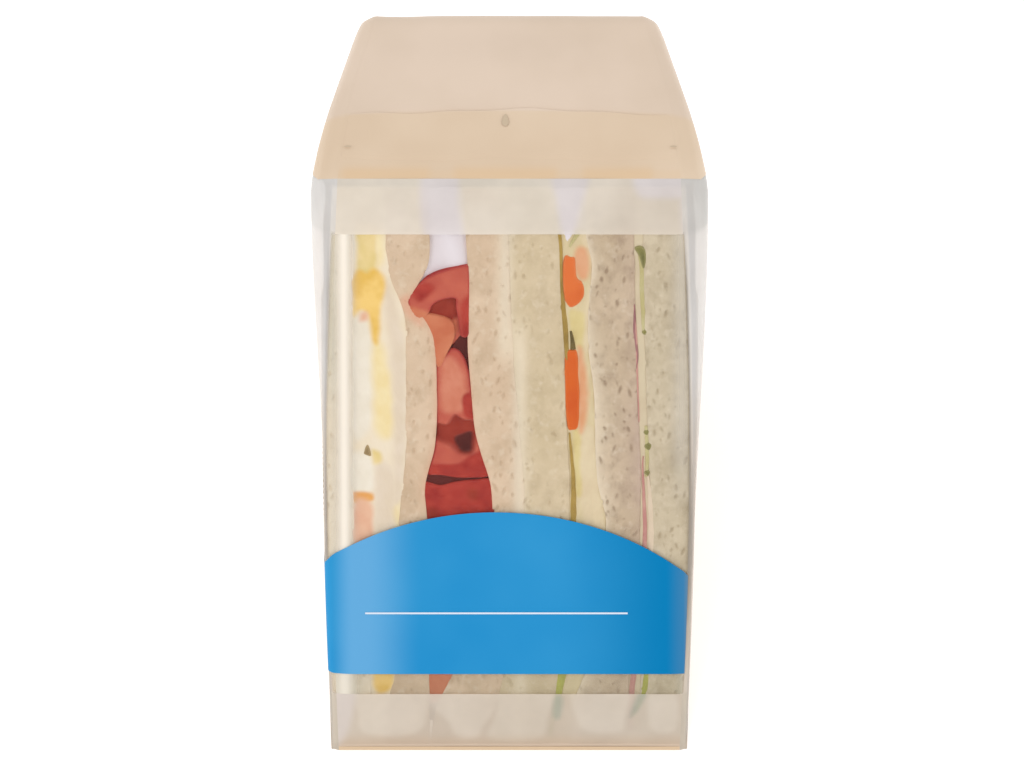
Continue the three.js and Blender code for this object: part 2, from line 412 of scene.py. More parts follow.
class Looks:
    """One procedural material with its slot, and short names for the nodes that it needs."""

    def __init__(self, name, slot, rough, **sockets):
        self.slot = slot
        self.material = bpy.data.materials.new(name)
        self.material.use_nodes = True
        self.tree = self.material.node_tree
        self.shader = self.tree.nodes["Principled BSDF"]
        self.give(Roughness=rough, **sockets)
        self.place = self.node("TexCoord", "Object")

    def feed(self, socket, value):
        """Set a socket to a plain value, or link another node's output to it."""
        if isinstance(value, bpy.types.NodeSocket):
            self.tree.links.new(value, socket)
        else:
            socket.default_value = value

    def give(self, **sockets):
        """Feed the shader's own sockets, by their names with _ for a space."""
        for key, value in sockets.items():
            self.feed(self.shader.inputs[key.replace("_", " ")], value)

    def node(self, kind, output, inputs=None, **settings):
        """An output of a new node, with that node's inputs fed by name or number."""
        node = self.tree.nodes.new("ShaderNode" + kind)
        for key, value in settings.items():
            setattr(node, key, value)
        for key, value in (inputs or {}).items():
            self.feed(node.inputs[key], value)
        return node.outputs[output]

    def noise(self, scale, detail=3, rough=0.5, stretch=None):
        """Noise of that scale; stretch gives it across the stack, up the cut face and into it."""
        place = self.place
        if stretch:
            turned = {"Vector": place, "Rotation": (-math.pi / 4, 0, 0), "Scale": stretch}
            place = self.node("Mapping", 0, turned)
        inputs = {"Vector": place, "Scale": scale, "Detail": detail, "Roughness": rough}
        return self.node("TexNoise", "Fac", inputs)

    def cells(self, scale):
        return self.node("TexVoronoi", "Distance", {"Vector": self.place, "Scale": scale})

    def field(self, name):
        """A field of numbers on the mesh; 0 where it has none of that name."""
        return self.node("Attribute", "Fac", attribute_name=name)

    def span(self, source, low, high, to_low=0.0, to_high=1.0):
        inputs = {"Value": source, "From Min": low, "From Max": high, "To Min": to_low, "To Max": to_high}
        return self.node("MapRange", 0, inputs)

    def mix(self, share, first, second):
        """Two colours or numbers mixed; three plain numbers are a colour on a screen."""
        def colour(tone):
            return srgb(*tone) if isinstance(tone, tuple) and len(tone) == 3 else tone
        return self.node("Mix", 2, {0: share, 6: colour(first), 7: colour(second)}, data_type="RGBA")

    def add(self, first, second, weight=1.0):
        return self.node("Math", 0, {0: second, 1: weight, 2: first}, operation="MULTIPLY_ADD")

    def cloudy(self, first, second, scale, detail=4, spread=0.14):
        """Two colours in soft clouds of that scale."""
        return self.mix(self.span(self.noise(scale, detail), 0.5 - spread, 0.5 + spread), first, second)

    def layered(self, base, **tones):
        """A colour with others over it, each as strong as the mesh's field of that name."""
        for name, tone in tones.items():
            base = self.mix(self.field(name), base, tone)
        return base

    def gloss(self, rough, scale):
        """Uneven roughness around a middle value."""
        self.give(Roughness=self.span(self.noise(scale, 2), 0.3, 0.7, rough * 0.7, rough * 1.3))

    def bump(self, height, depth, strength=1.0):
        inputs = {"Height": height, "Strength": strength, "Distance": depth * MM}
        self.give(Normal=self.node("Bump", 0, inputs))


def crumb_looks(name, light, dark, grain_and_pore_shade, stain, streak_and_pore_shade):
    """Soft white bread: cloudy tones, long faint streaks, faint painted glints, pores darkened with painted
    shade and a fine open grain.
    """
    m = Looks(name, "bread", 0.9, Specular_IOR_Level=0.1)
    base = m.cloudy(light, dark, 75)
    mottle = m.span(m.noise(170, 5, 0.6, (1, 0.5, 1)), 0.46, 0.66, 0, 0.35)
    streaks = m.span(m.noise(330, 3, stretch=(1, 0.35, 1)), 0.5, 0.78, 0, streak_and_pore_shade)
    glints = m.span(m.noise(520, 2, stretch=(1, 0.5, 1)), 0.56, 0.74, 0, 0.3)
    for share, tone in ((mottle, grain_and_pore_shade), (streaks, grain_and_pore_shade), (glints, (228, 214, 192))):
        base = m.mix(share, base, tone)
    base = m.layered(base, pale=(228, 213, 188), stain=stain)
    # Painted shade in the pores, the stronger the deeper they are
    m.give(Base_Color=m.mix(m.span(m.field("pit"), 0, 1, 0, streak_and_pore_shade), base, grain_and_pore_shade))
    m.bump(m.add(m.noise(1600), m.cells(1400), 0.5), 0.08, 0.6)
    return m


def window_film_looks():
    """Clear film, with painted glare in stretches beside its folds, and greyer below the band with painted
    shade.
    """
    m = Looks("clear_film", "clear_film", 0.15)
    m.give(Base_Color=m.layered((205, 202, 195), dusk=(158, 156, 134), haze=(252, 243, 229)))
    m.give(Alpha=m.span(m.add(m.field("haze"), m.field("dusk"), 0.2), 0, 1, 0.02, 0.85))
    m.bump(m.noise(60, 2, stretch=(1, 0.3, 0.3)), 0.5, 0.35)
    return m


def end_film_looks():
    """The ends' clear flaps: bare at the front fold with a line of painted shade along it, then whitish,
    warmer below and greyer where loose, with more grey on the right end as painted shade.
    """
    m = Looks("end_film", "clear_film", 0.3)
    base = m.cloudy((240, 235, 231), (233, 227, 222), 60, 2, 0.15)
    warm = m.cloudy((221, 208, 194), (213, 199, 184), 60, 2, 0.15)
    tones = {"warm": warm, "loose": (189, 186, 181), "frost": (214, 202, 186), "crease": (150, 141, 131)}
    m.give(Base_Color=m.layered(base, **tones))
    cover = m.add(m.field("loose"), m.span(m.noise(90, 2), 0.35, 0.7, -0.1, 0.1))
    cover = m.span(m.add(cover, m.field("crease"), 0.6), 0, 1, 0.66, 0.85)
    m.give(Alpha=m.mix(m.field("bare"), cover, (0.04, 0.04, 0.04, 1)))
    m.bump(m.noise(70), 0.6, 0.5)
    return m


def frosted_film_looks():
    """Frosted film: paler where it touches the slices, and cooler where nothing is behind it."""
    m = Looks("frosted_film", "clear_film", 0.45)
    base = m.cloudy((213, 199, 182), (208, 192, 174), 50, 2, 0.15)
    near = m.cloudy((235, 224, 209), (230, 219, 203), 50, 2, 0.15)
    tones = {"near": near, "warm": (206, 178, 150), "shade": (182, 180, 164), "cool": (226, 217, 215)}
    m.give(Base_Color=m.layered(base, **tones), Alpha=m.span(m.noise(120, 2), 0.35, 0.7, 0.72, 0.8))
    m.bump(m.noise(60, 2), 0.4, 0.4)
    return m


def beige_film_looks():
    """Printed beige film: two layers have a deeper tone, and deeper still where it touches the slices."""
    m = Looks("beige_film", "film", 0.45, Specular_IOR_Level=0.3)
    base = m.cloudy((215, 195, 176), (209, 189, 169), 45, 3, 0.15)
    double = m.cloudy((214, 192, 167), (209, 186, 160), 45, 3, 0.15)
    m.give(Base_Color=m.layered(base, double=double, touch=(212, 182, 146)))
    m.bump(m.noise(80, stretch=(0.5, 1, 1)), 0.5, 0.4)
    return m


def label_looks():
    """Blue print, deeper to the right, with painted glare beside the left fold and painted shade greying it
    at the right one.
    """
    m = Looks("blue_print", "label", 0.4, Specular_IOR_Level=0.05)
    blues = m.cloudy((38, 141, 200), (50, 148, 204), 35, 2, 0.15)
    m.give(Base_Color=m.layered(blues, deep=(0, 121, 178), pale=(98, 166, 214), faded=(134, 140, 134)))
    m.bump(m.noise(55, 2), 0.3, 0.35)
    return m


def moist_looks(name, slot, light, dark, edge, rough=0.45, scale=150, bumps=700, depth=0.12):
    """Moist food in two near colours and a third at its edge, with a fine uneven surface."""
    m = Looks(name, slot, rough, Specular_IOR_Level=0.25)
    base = m.cloudy(light, dark, scale, spread=0.12)
    m.give(Base_Color=m.mix(m.span(m.field("rim"), 0.2, 1, 0, 0.7), base, edge))
    m.gloss(rough, scale * 2)
    m.bump(m.noise(bumps), depth, 0.7)
    return m


def mixture_looks(name, slot, base, rough=0.45, scale=120, depth=0.2, **layers):
    """Soft food with patches of other colours, fields of its mesh, each with a light and a dark shade."""
    m = Looks(name, slot, rough, Specular_IOR_Level=0.12)
    shades = {field: m.cloudy(*pair, scale * 1.7, 3) for field, pair in layers.items()}
    m.give(Base_Color=m.layered(m.cloudy(*base, scale), **shades))
    m.gloss(rough, scale * 2)
    m.bump(m.noise(420), depth, 0.6)
    return m


def flat_looks(name, slot, colour, rough):
    return Looks(name, slot, rough, Specular_IOR_Level=0.25, Base_Color=srgb(*colour))


JUICE = (216, 158, 130)
MAUVE = (184, 158, 148)
# DIM is the tone of the painted shade along the first slice's edge by the fold
DIM = (198, 190, 170)
# crumb_pale, on the first slice only, is lighter partly with painted glare from beside the left fold
CRUMB_PALE = crumb_looks("crumb_pale", (238, 224, 202), (231, 215, 190), (206, 186, 158), DIM, 0.35)
CRUMB_WARM = crumb_looks("crumb_warm", (215, 190, 163), (206, 180, 152), (174, 148, 118), JUICE, 0.26)
CRUMB_CREAM = crumb_looks("crumb_cream", (209, 190, 159), (200, 181, 148), (170, 150, 118), JUICE, 0.26)
CRUMB_GREY = crumb_looks("crumb_grey", (200, 179, 152), (190, 169, 141), (150, 128, 106), MAUVE, 0.65)
CRUMB_DEEP = crumb_looks("crumb_deep", (204, 189, 163), (196, 181, 154), (158, 140, 112), MAUVE, 0.5)
WINDOW_FILM = window_film_looks()
END_FILM = end_film_looks()
FROSTED_FILM = frosted_film_looks()
BEIGE_FILM = beige_film_looks()
LABEL = label_looks()
# A pale sheet's colour where gaps show the film lit from behind: painted light
LIT_LINING = flat_looks("lit_pale_lining", "clear_film", (224, 215, 218), 0.5)
WHITE_PRINT = flat_looks("white_print", "label", (216, 226, 238), 0.4)
MARK = flat_looks("tear_mark", "film", (192, 173, 148), 0.5)

EGG_MIXTURE = mixture_looks(
    "egg_mixture", "egg", ((232, 217, 193), (229, 212, 184)),
    white=((233, 223, 206), (227, 216, 197)),
    butter=((236, 218, 172), (232, 210, 156)),
    cream=((222, 205, 184), (218, 200, 176)),
    tip=((228, 204, 146), (218, 194, 126)),
    yolk=((237, 199, 118), (224, 181, 88)),
    orange=((226, 164, 94), (220, 154, 86)),
    pink=((226, 180, 150), (222, 170, 140)))
POTATO_MIXTURE = mixture_looks(
    "potato_mixture", "salad", ((213, 196, 158), (207, 188, 148)),
    cream=((218, 200, 166), (212, 192, 158)),
    butter=((214, 196, 142), (208, 188, 130)),
    salmon=((218, 164, 126), (214, 154, 112)))
# dark and black are painted shade on the tomato's hollows, cavity, gap and inner layer
TOMATO = mixture_looks(
    "tomato_flesh", "tomato", ((192, 96, 76), (180, 81, 66)), rough=0.35, scale=150, depth=0.25,
    rim=((172, 62, 56), (160, 52, 50)),
    pale=((208, 132, 106), (200, 118, 92)),
    orange=((202, 122, 88), (192, 106, 74)),
    red=((174, 60, 48), (150, 42, 36)),
    dark=((154, 54, 38), (138, 42, 30)),
    black=((92, 32, 28), (78, 24, 20)))
SPREAD = moist_looks("pale_spread", "salad", (208, 192, 162), (202, 184, 154), (200, 182, 150))
CREAM = moist_looks("cream", "salad", (216, 196, 172), (210, 190, 164), (206, 186, 158))
SPECK = moist_looks("brown_speck", "egg", (150, 126, 88), (130, 106, 70), (180, 156, 112))
CARROT_GRAIN = {"rough": 0.5, "scale": 130, "bumps": 500, "depth": 0.08}
CARROT = moist_looks("carrot", "vegetable", (208, 92, 18), (200, 80, 8), (212, 112, 48), **CARROT_GRAIN)
PALE_CARROT = moist_looks("pale_carrot", "vegetable", (216, 108, 46), (208, 96, 34), (218, 126, 72),
                          **CARROT_GRAIN)
GREENS = moist_looks("greens", "vegetable", (128, 122, 68), (104, 100, 52), (150, 142, 94))
BRIGHT_GREENS = moist_looks("bright_greens", "vegetable", (176, 174, 78), (146, 146, 58), (184, 178, 104))
PALE_GREENS = moist_looks("pale_greens", "vegetable", (192, 182, 136), (182, 170, 118), (198, 184, 146))
OLIVE = moist_looks("olive_leaf", "vegetable", (168, 138, 68), (142, 114, 50), (184, 158, 96))
DARK_OLIVE = moist_looks("dark_olive_leaf", "vegetable", (112, 94, 46), (92, 78, 40), (142, 120, 72))
HAM = moist_looks("ham", "ham", (196, 146, 134), (184, 128, 120), (198, 158, 140))
HAM_EDGE = moist_looks("ham_edge", "ham", (158, 112, 108), (142, 96, 96), (172, 134, 122))


# Film


def ripples(u, along, seed):
    """Shallow dents of taut film, from 0 to 1."""
    rng = np.random.default_rng(seed)
    total = 0
    for _ in range(RIPPLES):
        angle = rng.uniform(0, math.pi)
        length = rng.uniform(RIPPLE_LENGTH * 0.3, RIPPLE_LENGTH)
        phase = rng.uniform(0, 2 * math.pi)
        place = u * math.cos(angle) + along * math.sin(angle)
        total = total + np.sin(place * 2 * math.pi / length + phase)
    return 0.5 + total / (2 * RIPPLES)


def film_panel(name, outline, looks, fields, columns=111, dents=0.0, seed=0):
    """One wrapped panel, from the left fold to the right one."""
    share = row(-1, 1, columns)
    u = share * (fold_half_width(outline) - EDGE_ROUND)[:, None]
    dent = dents * ripples(u, distances(outline)[:, None], seed) * (1 - share**6)
    out = crown(outline)[:, None] * (1 - share**2) - dent
    normals = outward(outline)
    v = outline[:, :1] + normals[:, :1] * out
    w = outline[:, 1:] + normals[:, 1:] * out
    add_grid(name, film_world(u, v, w), looks, **fields(u, v, w))


# Stretches of painted glare on the window: middle across, half width, from and to up the face, and strength
PAINTED_GLARE_STRETCHES = (
    (-38.5, 2.0, 30, 150, 1.0), (40.2, 2.3, 58, 150, 0.42), (-36.0, 1.0, 60, 150, 0.1),
    (1.8, 1.1, 36, 96, 0.1), (-0.9, 1.2, 100, 150, 0.12), (-38.6, 3.2, -20, 21, 0.8),
    (41.2, 1.6, -20, 21, 0.5))
GLARE_FADE_IN, GLARE_FADE_OUT = 26, 9
# Patches of the frosted bands: how soft their edges are, and their outlines
FROST_PATCHES = {
    "cool": (1.2, [
        [(-19.8, 149), (-12.4, 149), (-11.9, 141), (-11, 131), (-18.5, 131), (-20.6, 138.4)],
        [(10.1, 149), (18.3, 149), (16.9, 141), (14.4, 131), (12.6, 131), (11.1, 141)],
        [(30, 149), (43.5, 149), (43.5, 143), (35.4, 142.2), (30, 143)],
        [(40, 146), (43.5, 146), (43.5, 131), (40.8, 131)],
        [(-40.8, 18), (-35.8, 18), (-37.4, 6), (-39.8, 1.4), (-40.8, 2)]]),
    "near": (0.9, [
        [(-45, 128), (45, 128), (45, 150), (-45, 150)],
        [(-35, 16.6), (-20, 16.6), (-19.6, 9), (-20.6, 5.4), (-26, 3.2), (-34, 4.4), (-35.4, 9)],
        [(-18.8, 16.6), (-2.4, 16.6), (-3.6, 10), (-6.4, 5.6), (-7.6, 3), (-12.2, 3.4), (-14.4, 7.4),
         (-17.8, 11)],
        [(-2, 16.6), (10.2, 16.6), (9.2, 9), (7, 2.8), (-4.6, 2.8), (-3.2, 9)],
        [(14.8, 16.6), (27.6, 16.6), (27.2, 9), (26, 4.8), (19.4, 4.4), (16.2, 7)],
        [(32.6, 13), (36, 14.4), (39.4, 13.6), (38.8, 5), (33.4, 5.4)]]),
    "shade": (0.7, [
        [(31, 16), (33, 16), (30.4, 10.6), (28.2, 8.2), (29.2, 12)],
        [(10.8, 14), (12.6, 13), (11.8, 8), (10.2, 9)]]),
}


def haze(u, v, w):
    """Painted glare on the window's film, mostly in stretches beside its folds, and painted shade that makes
    it greyer below the band.
    """
    total = 0 * (u + v)
    for middle, half, low, high, strength in PAINTED_GLARE_STRETCHES:
        across = np.exp(-((u - middle) / half) ** 2)
        up = smoothstep(v, low, low + GLARE_FADE_IN) * fade(v, high, high + GLARE_FADE_OUT)
        total = np.maximum(total, strength * across * up)
    return {"haze": total, "dusk": fade(v + 0 * u, LABEL_LOW, LABEL_LOW + 3)}


def frost(u, v, w):
    """The patches of the frosted bands, and the warmer tone along the bottom edge."""
    fields = {key: patched(u, v, outlines, soft) for key, (soft, outlines) in FROST_PATCHES.items()}
    high = v > CUT / 2
    fields["cool"] = fields["cool"] * np.where(high, 1, 0.6)
    fields["near"] = fields["near"] * np.where(high, 1 - 0.45 * smoothstep(u, 16, 30), 0.45)
    fields["warm"] = 0.6 * fade(v + 0 * u, 2, 6)
    return fields


def between(outline, low, high):
    """The stretch of the front panel's outline from v = low to high, cut exactly there."""
    inside = outline[(outline[:, 0] > low) & (outline[:, 0] < high)]
    cuts = [np.array([[v, np.interp(v, outline[:, 0], outline[:, 1])]]) for v in (low, high)]
    start = cuts[0] if low > outline[0, 0] else outline[:0]
    stop = cuts[1] if high < outline[-1, 0] else outline[:0]
    return np.concatenate([start, inside, stop])


# Tips of the slices under the roof's front edge, where the beige film looks deeper in colour
TIPS = ((-38.5, -18.8), (-12.6, 10.8), (17.4, 33.0))


def two_layers(up_roof):
    """1 below the lap's edge, where the roof's film is double."""
    return fade(up_roof, LAP["to"] - 0.3, LAP["to"] + 0.3)


def touching(u, v, w):
    """Shares of the two deeper tones: below the lap's edge, and where the film lies on the slices' tips."""
    up_roof = np.hypot(v - TOP[0], w - TOP[1]) + 0 * u
    on_tips = 0 * up_roof
    for low, high in TIPS:
        on_tips += smoothstep(u, low - 1.5, low + 1) * fade(u, high - 1, high + 1.5)
    touch = 0.25 * fade(up_roof, 1.5, 3) + 0.5 * on_tips * fade(up_roof, 2.2, 4.4)
    return {"touch": touch, "double": two_layers(up_roof)}


def on_base(u, v, w):
    """The deeper colour of the base's film along the bottom edge."""
    return {"touch": 0.8 * fade(v + w + 0 * u, 2.5, 6), "double": 0 * (u + v)}


# The line on each end where the front panel's clear flap ends, from the low corner to the high one
FLAP_START, FLAP_STOP = (4.6, 2.0), (147.2, 2.1)
FLAP_DEPTH = 26
FLAP_SLOPE = 0.6
FLAP_TURN = 108  # from here up the clear flap's edge curves forward to the top corner
FLAP_COLUMNS = 28
# Steps in over the fold's rounding, as shares of its radius
FOLD_STEPS = np.array([0, 0.03, 0.06, 0.1, 0.15, 0.22, 0.3, 0.5, 0.75, 1.0])
# The painted shade line at the front fold: how dark, how far in, and how wide above and below
CREASE_SHADE = {"left": (0.6, 0.4, 0.16, 0.6), "right": (0.95, 0.03, 0.12, 0.5)}
CREASE_SHADE_IN, CREASE_SHADE_OUT = (20, 46), (118, 140)  # where it comes up and goes, on v
CREASE_SHADE_NARROWS = (50, 85)
WARM_FADE = (66, 104)  # the clear flap is warmer below this
LOOSE = {"left": 0.6, "right": 1.0}  # how grey the loose film is; the right end's extra grey is painted shade


def flap_rise(v):
    """How far back the clear flap reaches at v, before its edge turns forward."""
    return np.minimum(FLAP_START[1] + (v - FLAP_START[0]) * FLAP_SLOPE, FLAP_DEPTH)


def flap_edge(share):
    """Points of that line; share runs from 0 at the low corner to 1 at the high one."""
    v = FLAP_START[0] + (FLAP_STOP[0] - FLAP_START[0]) * share
    fall = np.clip((v - FLAP_TURN) / (FLAP_STOP[0] - FLAP_TURN), 0, 1)
    w = FLAP_STOP[1] + (flap_rise(v) - FLAP_STOP[1]) * np.sqrt(1 - fall**2)
    return np.stack([v, w], axis=-1)


def end_points(side, points, depth, lift):
    """Points on the film of one end, depth in from its fold and lift off it."""
    out = end_place(points, side, depth) - rounded_in(depth) + lift * smoothstep(depth, 0, 0.5)
    return film_world(SIGN[side] * out, points[..., 0], points[..., 1])


def flap_grid(outline, targets):
    """Section places from a stretch of outline in to a line, with the fold's rounding first."""
    turns = FOLD_STEPS * EDGE_ROUND
    room = CORNER_ROOM * np.linalg.norm(outline - BOTTOM, axis=1)
    reach = np.minimum(turns[None, :], room[:, None])
    rounded = outline[:, None] - outward(outline)[:, None] * reach[..., None]
    inner = rounded[:, -1:] + (targets[:, None] - rounded[:, -1:]) * column(0, 1, FLAP_COLUMNS + 1)[None, 1:]
    depth = np.concatenate([turns, np.full(FLAP_COLUMNS, EDGE_ROUND)])
    return np.concatenate([rounded, inner], axis=1), depth[None, :]


def beige_flap_fields(side, points, depth):
    """Two layers where the lap goes round, and nothing behind to touch."""
    double = two_layers((points - TOP) @ ROOF_WAY)
    return {"touch": 0 * double, "double": double}


def clear_flap_fields(side, points, depth):
    """The clear flap's loose and frosted parts, its warmer low part, and its bare fold with a line of
    painted shade.
    """
    v = points[..., 0]
    frosted = smoothstep(v, FROST_HIGH - 0.4, FROST_HIGH + 0.4)
    dark, place, narrow, wide = CREASE_SHADE[side]
    dark = dark * smoothstep(v, *CREASE_SHADE_IN) * fade(v, *CREASE_SHADE_OUT)
    width = wide + (narrow - wide) * smoothstep(v, *CREASE_SHADE_NARROWS)
    seen = smoothstep(v, FROST_LOW, FROST_LOW + 0.5) * (1 - frosted)
    return {
        "loose": LOOSE[side] * np.sqrt(flare(points, side) / FLARE) * (0.1 + 0.9 * frosted),
        "crease": dark * np.exp(-((depth - place) / width) ** 2),
        "warm": fade(v, *WARM_FADE),
        "bare": seen * fade(depth, place / 4, place),
        "frost": fade(v, FROST_LOW - 0.3, FROST_LOW + 0.3)}


def end_flap(name, side, outline, shares, looks, fields, lift):
    """One flap of an end, from its fold in to the shared line between two of its shares."""
    steps = distances(outline)
    targets = flap_edge(shares[0] + (shares[1] - shares[0]) * steps / steps[-1])
    points, depth = flap_grid(outline, targets)
    add_grid(f"{name}_{side}", end_points(side, points, depth, lift), looks, **fields(side, points, depth))


def end_film(side, panels):
    """One end's film: the clear flap off the front panel, and the beige flaps off the other three."""
    upper = np.concatenate([panels["roof"], panels["back"][1:]])
    beige = (BEIGE_FILM, beige_flap_fields, BEIGE_FLAP_LIFT)
    end_flap("end_flap_clear", side, panels["front"], (0, 1), END_FILM, clear_flap_fields, 0)
    end_flap("end_flap_high", side, upper, (1, 0.5), *beige)
    end_flap("end_flap_low", side, panels["base"], (0.5, 0), *beige)


def end_fin(side):
    """The crimped seal fin, folded forward on the end."""
    a, b = column(0, 1, 241), row(0, 1, 15)
    v = FIN["from"] + (FIN["to"] - FIN["from"]) * a + 0 * b
    w = FIN["front"] + (FIN["back"] - FIN["front"]) * b + FIN["wave"] * np.sin(a * 9)
    crimp = FIN["crimp"] * np.sin(v * 2 * math.pi / FIN["pitch"])
    out = end_place(np.stack([v, w], axis=-1), side) + FIN["lift"] + FIN["raised"] * (1 - b) + crimp
    add_grid(f"seal_fin_{side}", world(SIGN[side] * out, v, w), BEIGE_FILM, touch=0 * v, double=1 + 0 * v)


def lap_seam():
    """The roof's second layer of film, low down; it rises out of the roof's film and ends in a step."""
    a, share = column(0, 1, 40), row(-1, 1, 121)
    far = LAP["from"] + (LAP["to"] - LAP["from"]) * a
    far = far + a**4 * sum(most * np.sin(share * often + start) for most, often, start in LAP_WAVES)
    far = np.concatenate([far, far[-1:] + LAP["step"], far[-1:] + LAP["step"]])
    p = TOP + far[..., None] * ROOF_WAY
    u = share * (fold_half_width(p) - EDGE_ROUND - LAP["inset"])
    proud = LAP["proud"] * smoothstep(far, *LAP["fade"]) * (1 - share**8)
    out = crown(p) * (1 - share**2) + proud + LAP["clear"]
    out = out - LAP["sunk"] * fade(far, LAP["from"], LAP["from"] + LAP["rise"])
    out[-1] -= LAP["sunk"]
    v = p[..., 0] + out * ROOF_OUT[0]
    w = p[..., 1] + out * ROOF_OUT[1]
    add_grid("lap_seam", world(u, v, w), BEIGE_FILM, **touching(u, v, w))


# Small dark marks on the roof: place across, place up the roof, half width and half height
ROOF_MARKS = {
    "drop_mark": (-0.9, 14.6, 0.75, 1.5),
    "dash_left": (-37.6, 8.4, 0.8, 0.2),
    "dash_right": (38.2, 8.4, 0.8, 0.2),
}


def roof_mark(name, across, far, half_width, half_height):
    """A flat mark on the roof's film, a little wider at its foot."""
    angles = np.linspace(0, 2 * math.pi, 24, endpoint=False)
    u = across + half_width * np.cos(angles) * (1 - 0.35 * np.sin(angles))
    p = TOP + (far + half_height * np.sin(angles))[:, None] * ROOF_WAY
    share = u / fold_half_width(p)
    out = crown(p) * (1 - share**2) + LAP["proud"] + MARK_LIFT
    points = world(u, p[:, 0] + out * ROOF_OUT[0], p[:, 1] + out * ROOF_OUT[1])
    add_mesh(name, points, [list(range(len(u)))], MARK)


def label_height(u):
    """Upper edge of the label: an arch, with its ends rounded off towards the folds."""
    arch = LABEL_ARCH - np.sqrt(LABEL_ARCH**2 - (u - LABEL_MIDDLE) ** 2)
    near_fold = np.clip((np.abs(u) - LABEL_HALF + LABEL_CORNER) / LABEL_CORNER, 0, 1)
    return LABEL_TOP - arch - LABEL_CORNER_DROP * near_fold**2


def label_band():
    """The printed band across the cut face, from the left fold to the right one."""
    share = np.sin(row(-0.5, 0.5, 161) * math.pi)
    short = LABEL_SHORT * (share > 0)
    height = label_height(share * (LABEL_HALF - short)) - LABEL_LOW
    v = LABEL_LOW + height * column(0, 1, 60)
    half = fold_half_width(np.stack([v, 0 * v], axis=-1))
    w = rounded_in(half - (half - short) * np.abs(share)) - PRINT_LIFT
    u = share * (half - short + 0.1)
    # Painted glare beside the left fold, and painted shade greying the band at the right fold
    start, stop, strength = LABEL_GLARE
    pale = smoothstep(u, *start) * fade(u, *stop) * strength
    deep = LABEL_DEEP_LEFT + (1 - LABEL_DEEP_LEFT) * smoothstep(u, *LABEL_DEEP)
    faded = 0.16 * smoothstep(u, 36.5, 41) + 0.3 * smoothstep(u, 40.6, 41.8)
    add_grid("label_band", film_world(u, v, w), LABEL, pale=pale, deep=deep, faded=faded)


def label_rule():
    """The band's one white line."""
    u = row(RULE_FROM, RULE_TO, 50)
    v = RULE_AT + RULE_WIDTH * column(-0.5, 0.5, 3)
    add_grid("label_rule", film_world(u + 0 * v, v + 0 * u, -RULE_LIFT), WHITE_PRINT)


def label_on_end():
    """The same band where it goes on round the left fold, over the end's clear flap."""
    a, b = column(0, 1, 50), row(0, 1, 24)
    v = LABEL_LOW + (label_height(-LABEL_HALF) - LABEL_LOW) * a + 0 * b
    near = EDGE_ROUND * 0.8
    w = near + (flap_rise(v) - 0.4 - near) * b
    points = end_points("left", np.stack([v, w], axis=-1), w, PRINT_LIFT)
    add_grid("label_end_left", points, LABEL, pale=0 * v, deep=0 * v + LABEL_DEEP_END)


def build_film():
    """The pack's four panels, its lap, marks and two ends, and the print."""
    panels = section_panels()
    front = panels["front"]
    window = between(front, FROST_LOW, FROST_HIGH)
    low, high = between(front, BASE_LIP, FROST_LOW), between(front, FROST_HIGH, CUT + 9)
    base = np.concatenate([panels["base"], between(front, -9, BASE_LIP)[1:]])
    film_panel("window_film", window, WINDOW_FILM, haze, columns=181, dents=0.3, seed=3)
    film_panel("frosted_band_low", low, FROSTED_FILM, frost, dents=0.2, seed=4)
    film_panel("frosted_band_high", high, FROSTED_FILM, frost, dents=0.3, seed=5)
    film_panel("roof_film", panels["roof"], BEIGE_FILM, touching, dents=0.5, seed=6)
    film_panel("back_film", panels["back"], BEIGE_FILM, touching, dents=1.2, seed=7)
    film_panel("base_film", base, BEIGE_FILM, on_base)
    lap_seam()
    for name, places in ROOF_MARKS.items():
        roof_mark(name, *places)
    for side in SIGN:
        end_film(side, panels)
        end_fin(side)
    label_band()
    label_rule()
    label_on_end()


# Slices and fillings


def curve_of(places, v):
    """u along one face of a slice, from a few places on v, smoothly joined."""
    places = np.array(sorted(places))
    fine = np.arange(-12, CUT + 12, 0.5)
    return np.interp(v - FOOD_RISE, fine, smoothed(np.interp(fine, places[:, 0], places[:, 1]), 5))


# Faces of the slices as (v, u), from the left of the stack to the right
B1_LEFT = [(0, -41.1), (20, -42), (80, -43), (CUT, -41.3)]
B1_RIGHT = [(0, -32), (18, -32.4), (50, -36), (70, -36.6), (110, -36.4), (CUT, -36.2)]
B2_LEFT = [
    (0, -29), (10, -28.8), (20, -26.6), (50, -26.8), (66, -25), (75, -24.2), (112, -24), (117, -26),
    (124, -28.6), (CUT, -29)]
B2_RIGHT = [
    (0, -18.5), (50, -19), (60, -19), (66, -19.9), (70, -19.6), (75, -18), (80, -16.8), (91, -16.8),
    (106, -17.2), (110, -18.4), (112.6, -21), (115.6, -23.8), (119, -22), (123, -19), (128, -18.4),
    (CUT, -19.2)]
B3_LEFT = [
    (0, -18.4), (12, -17), (20, -12.6), (40, -6.7), (61, -3.7), (69, -4.4), (72, -5), (74, -6.2),
    (78, -7), (82, -8.2), (92, -8.8), (104, -9.8), (120, -9.4), (134, -10.2), (CUT, -10.9)]
B3_RIGHT = [(0, -5.3), (15, -2.1), (40, 2.4), (67, 3.7), (100, 1.0), (CUT, -0.8)]
B4_RIGHT = [
    (0, 7.0), (15, 11.1), (40, 13.2), (60, 14), (80, 13.6), (85, 13), (105, 12.6), (134, 11.4),
    (CUT, 9.9)]
B5_LEFT = [
    (0, 14.6), (13, 15), (19, 17.8), (40, 21.4), (60, 22.8), (68, 20.6), (78, 20), (93, 19.8),
    (104, 18.2), (115, 18.4), (126, 19.6), (131, 17.6), (CUT, 18.2)]
B5_RIGHT = [(0, 27.7), (16, 28), (52, 30.5), (72, 30.8), (92, 29.9), (CUT, 28.7)]
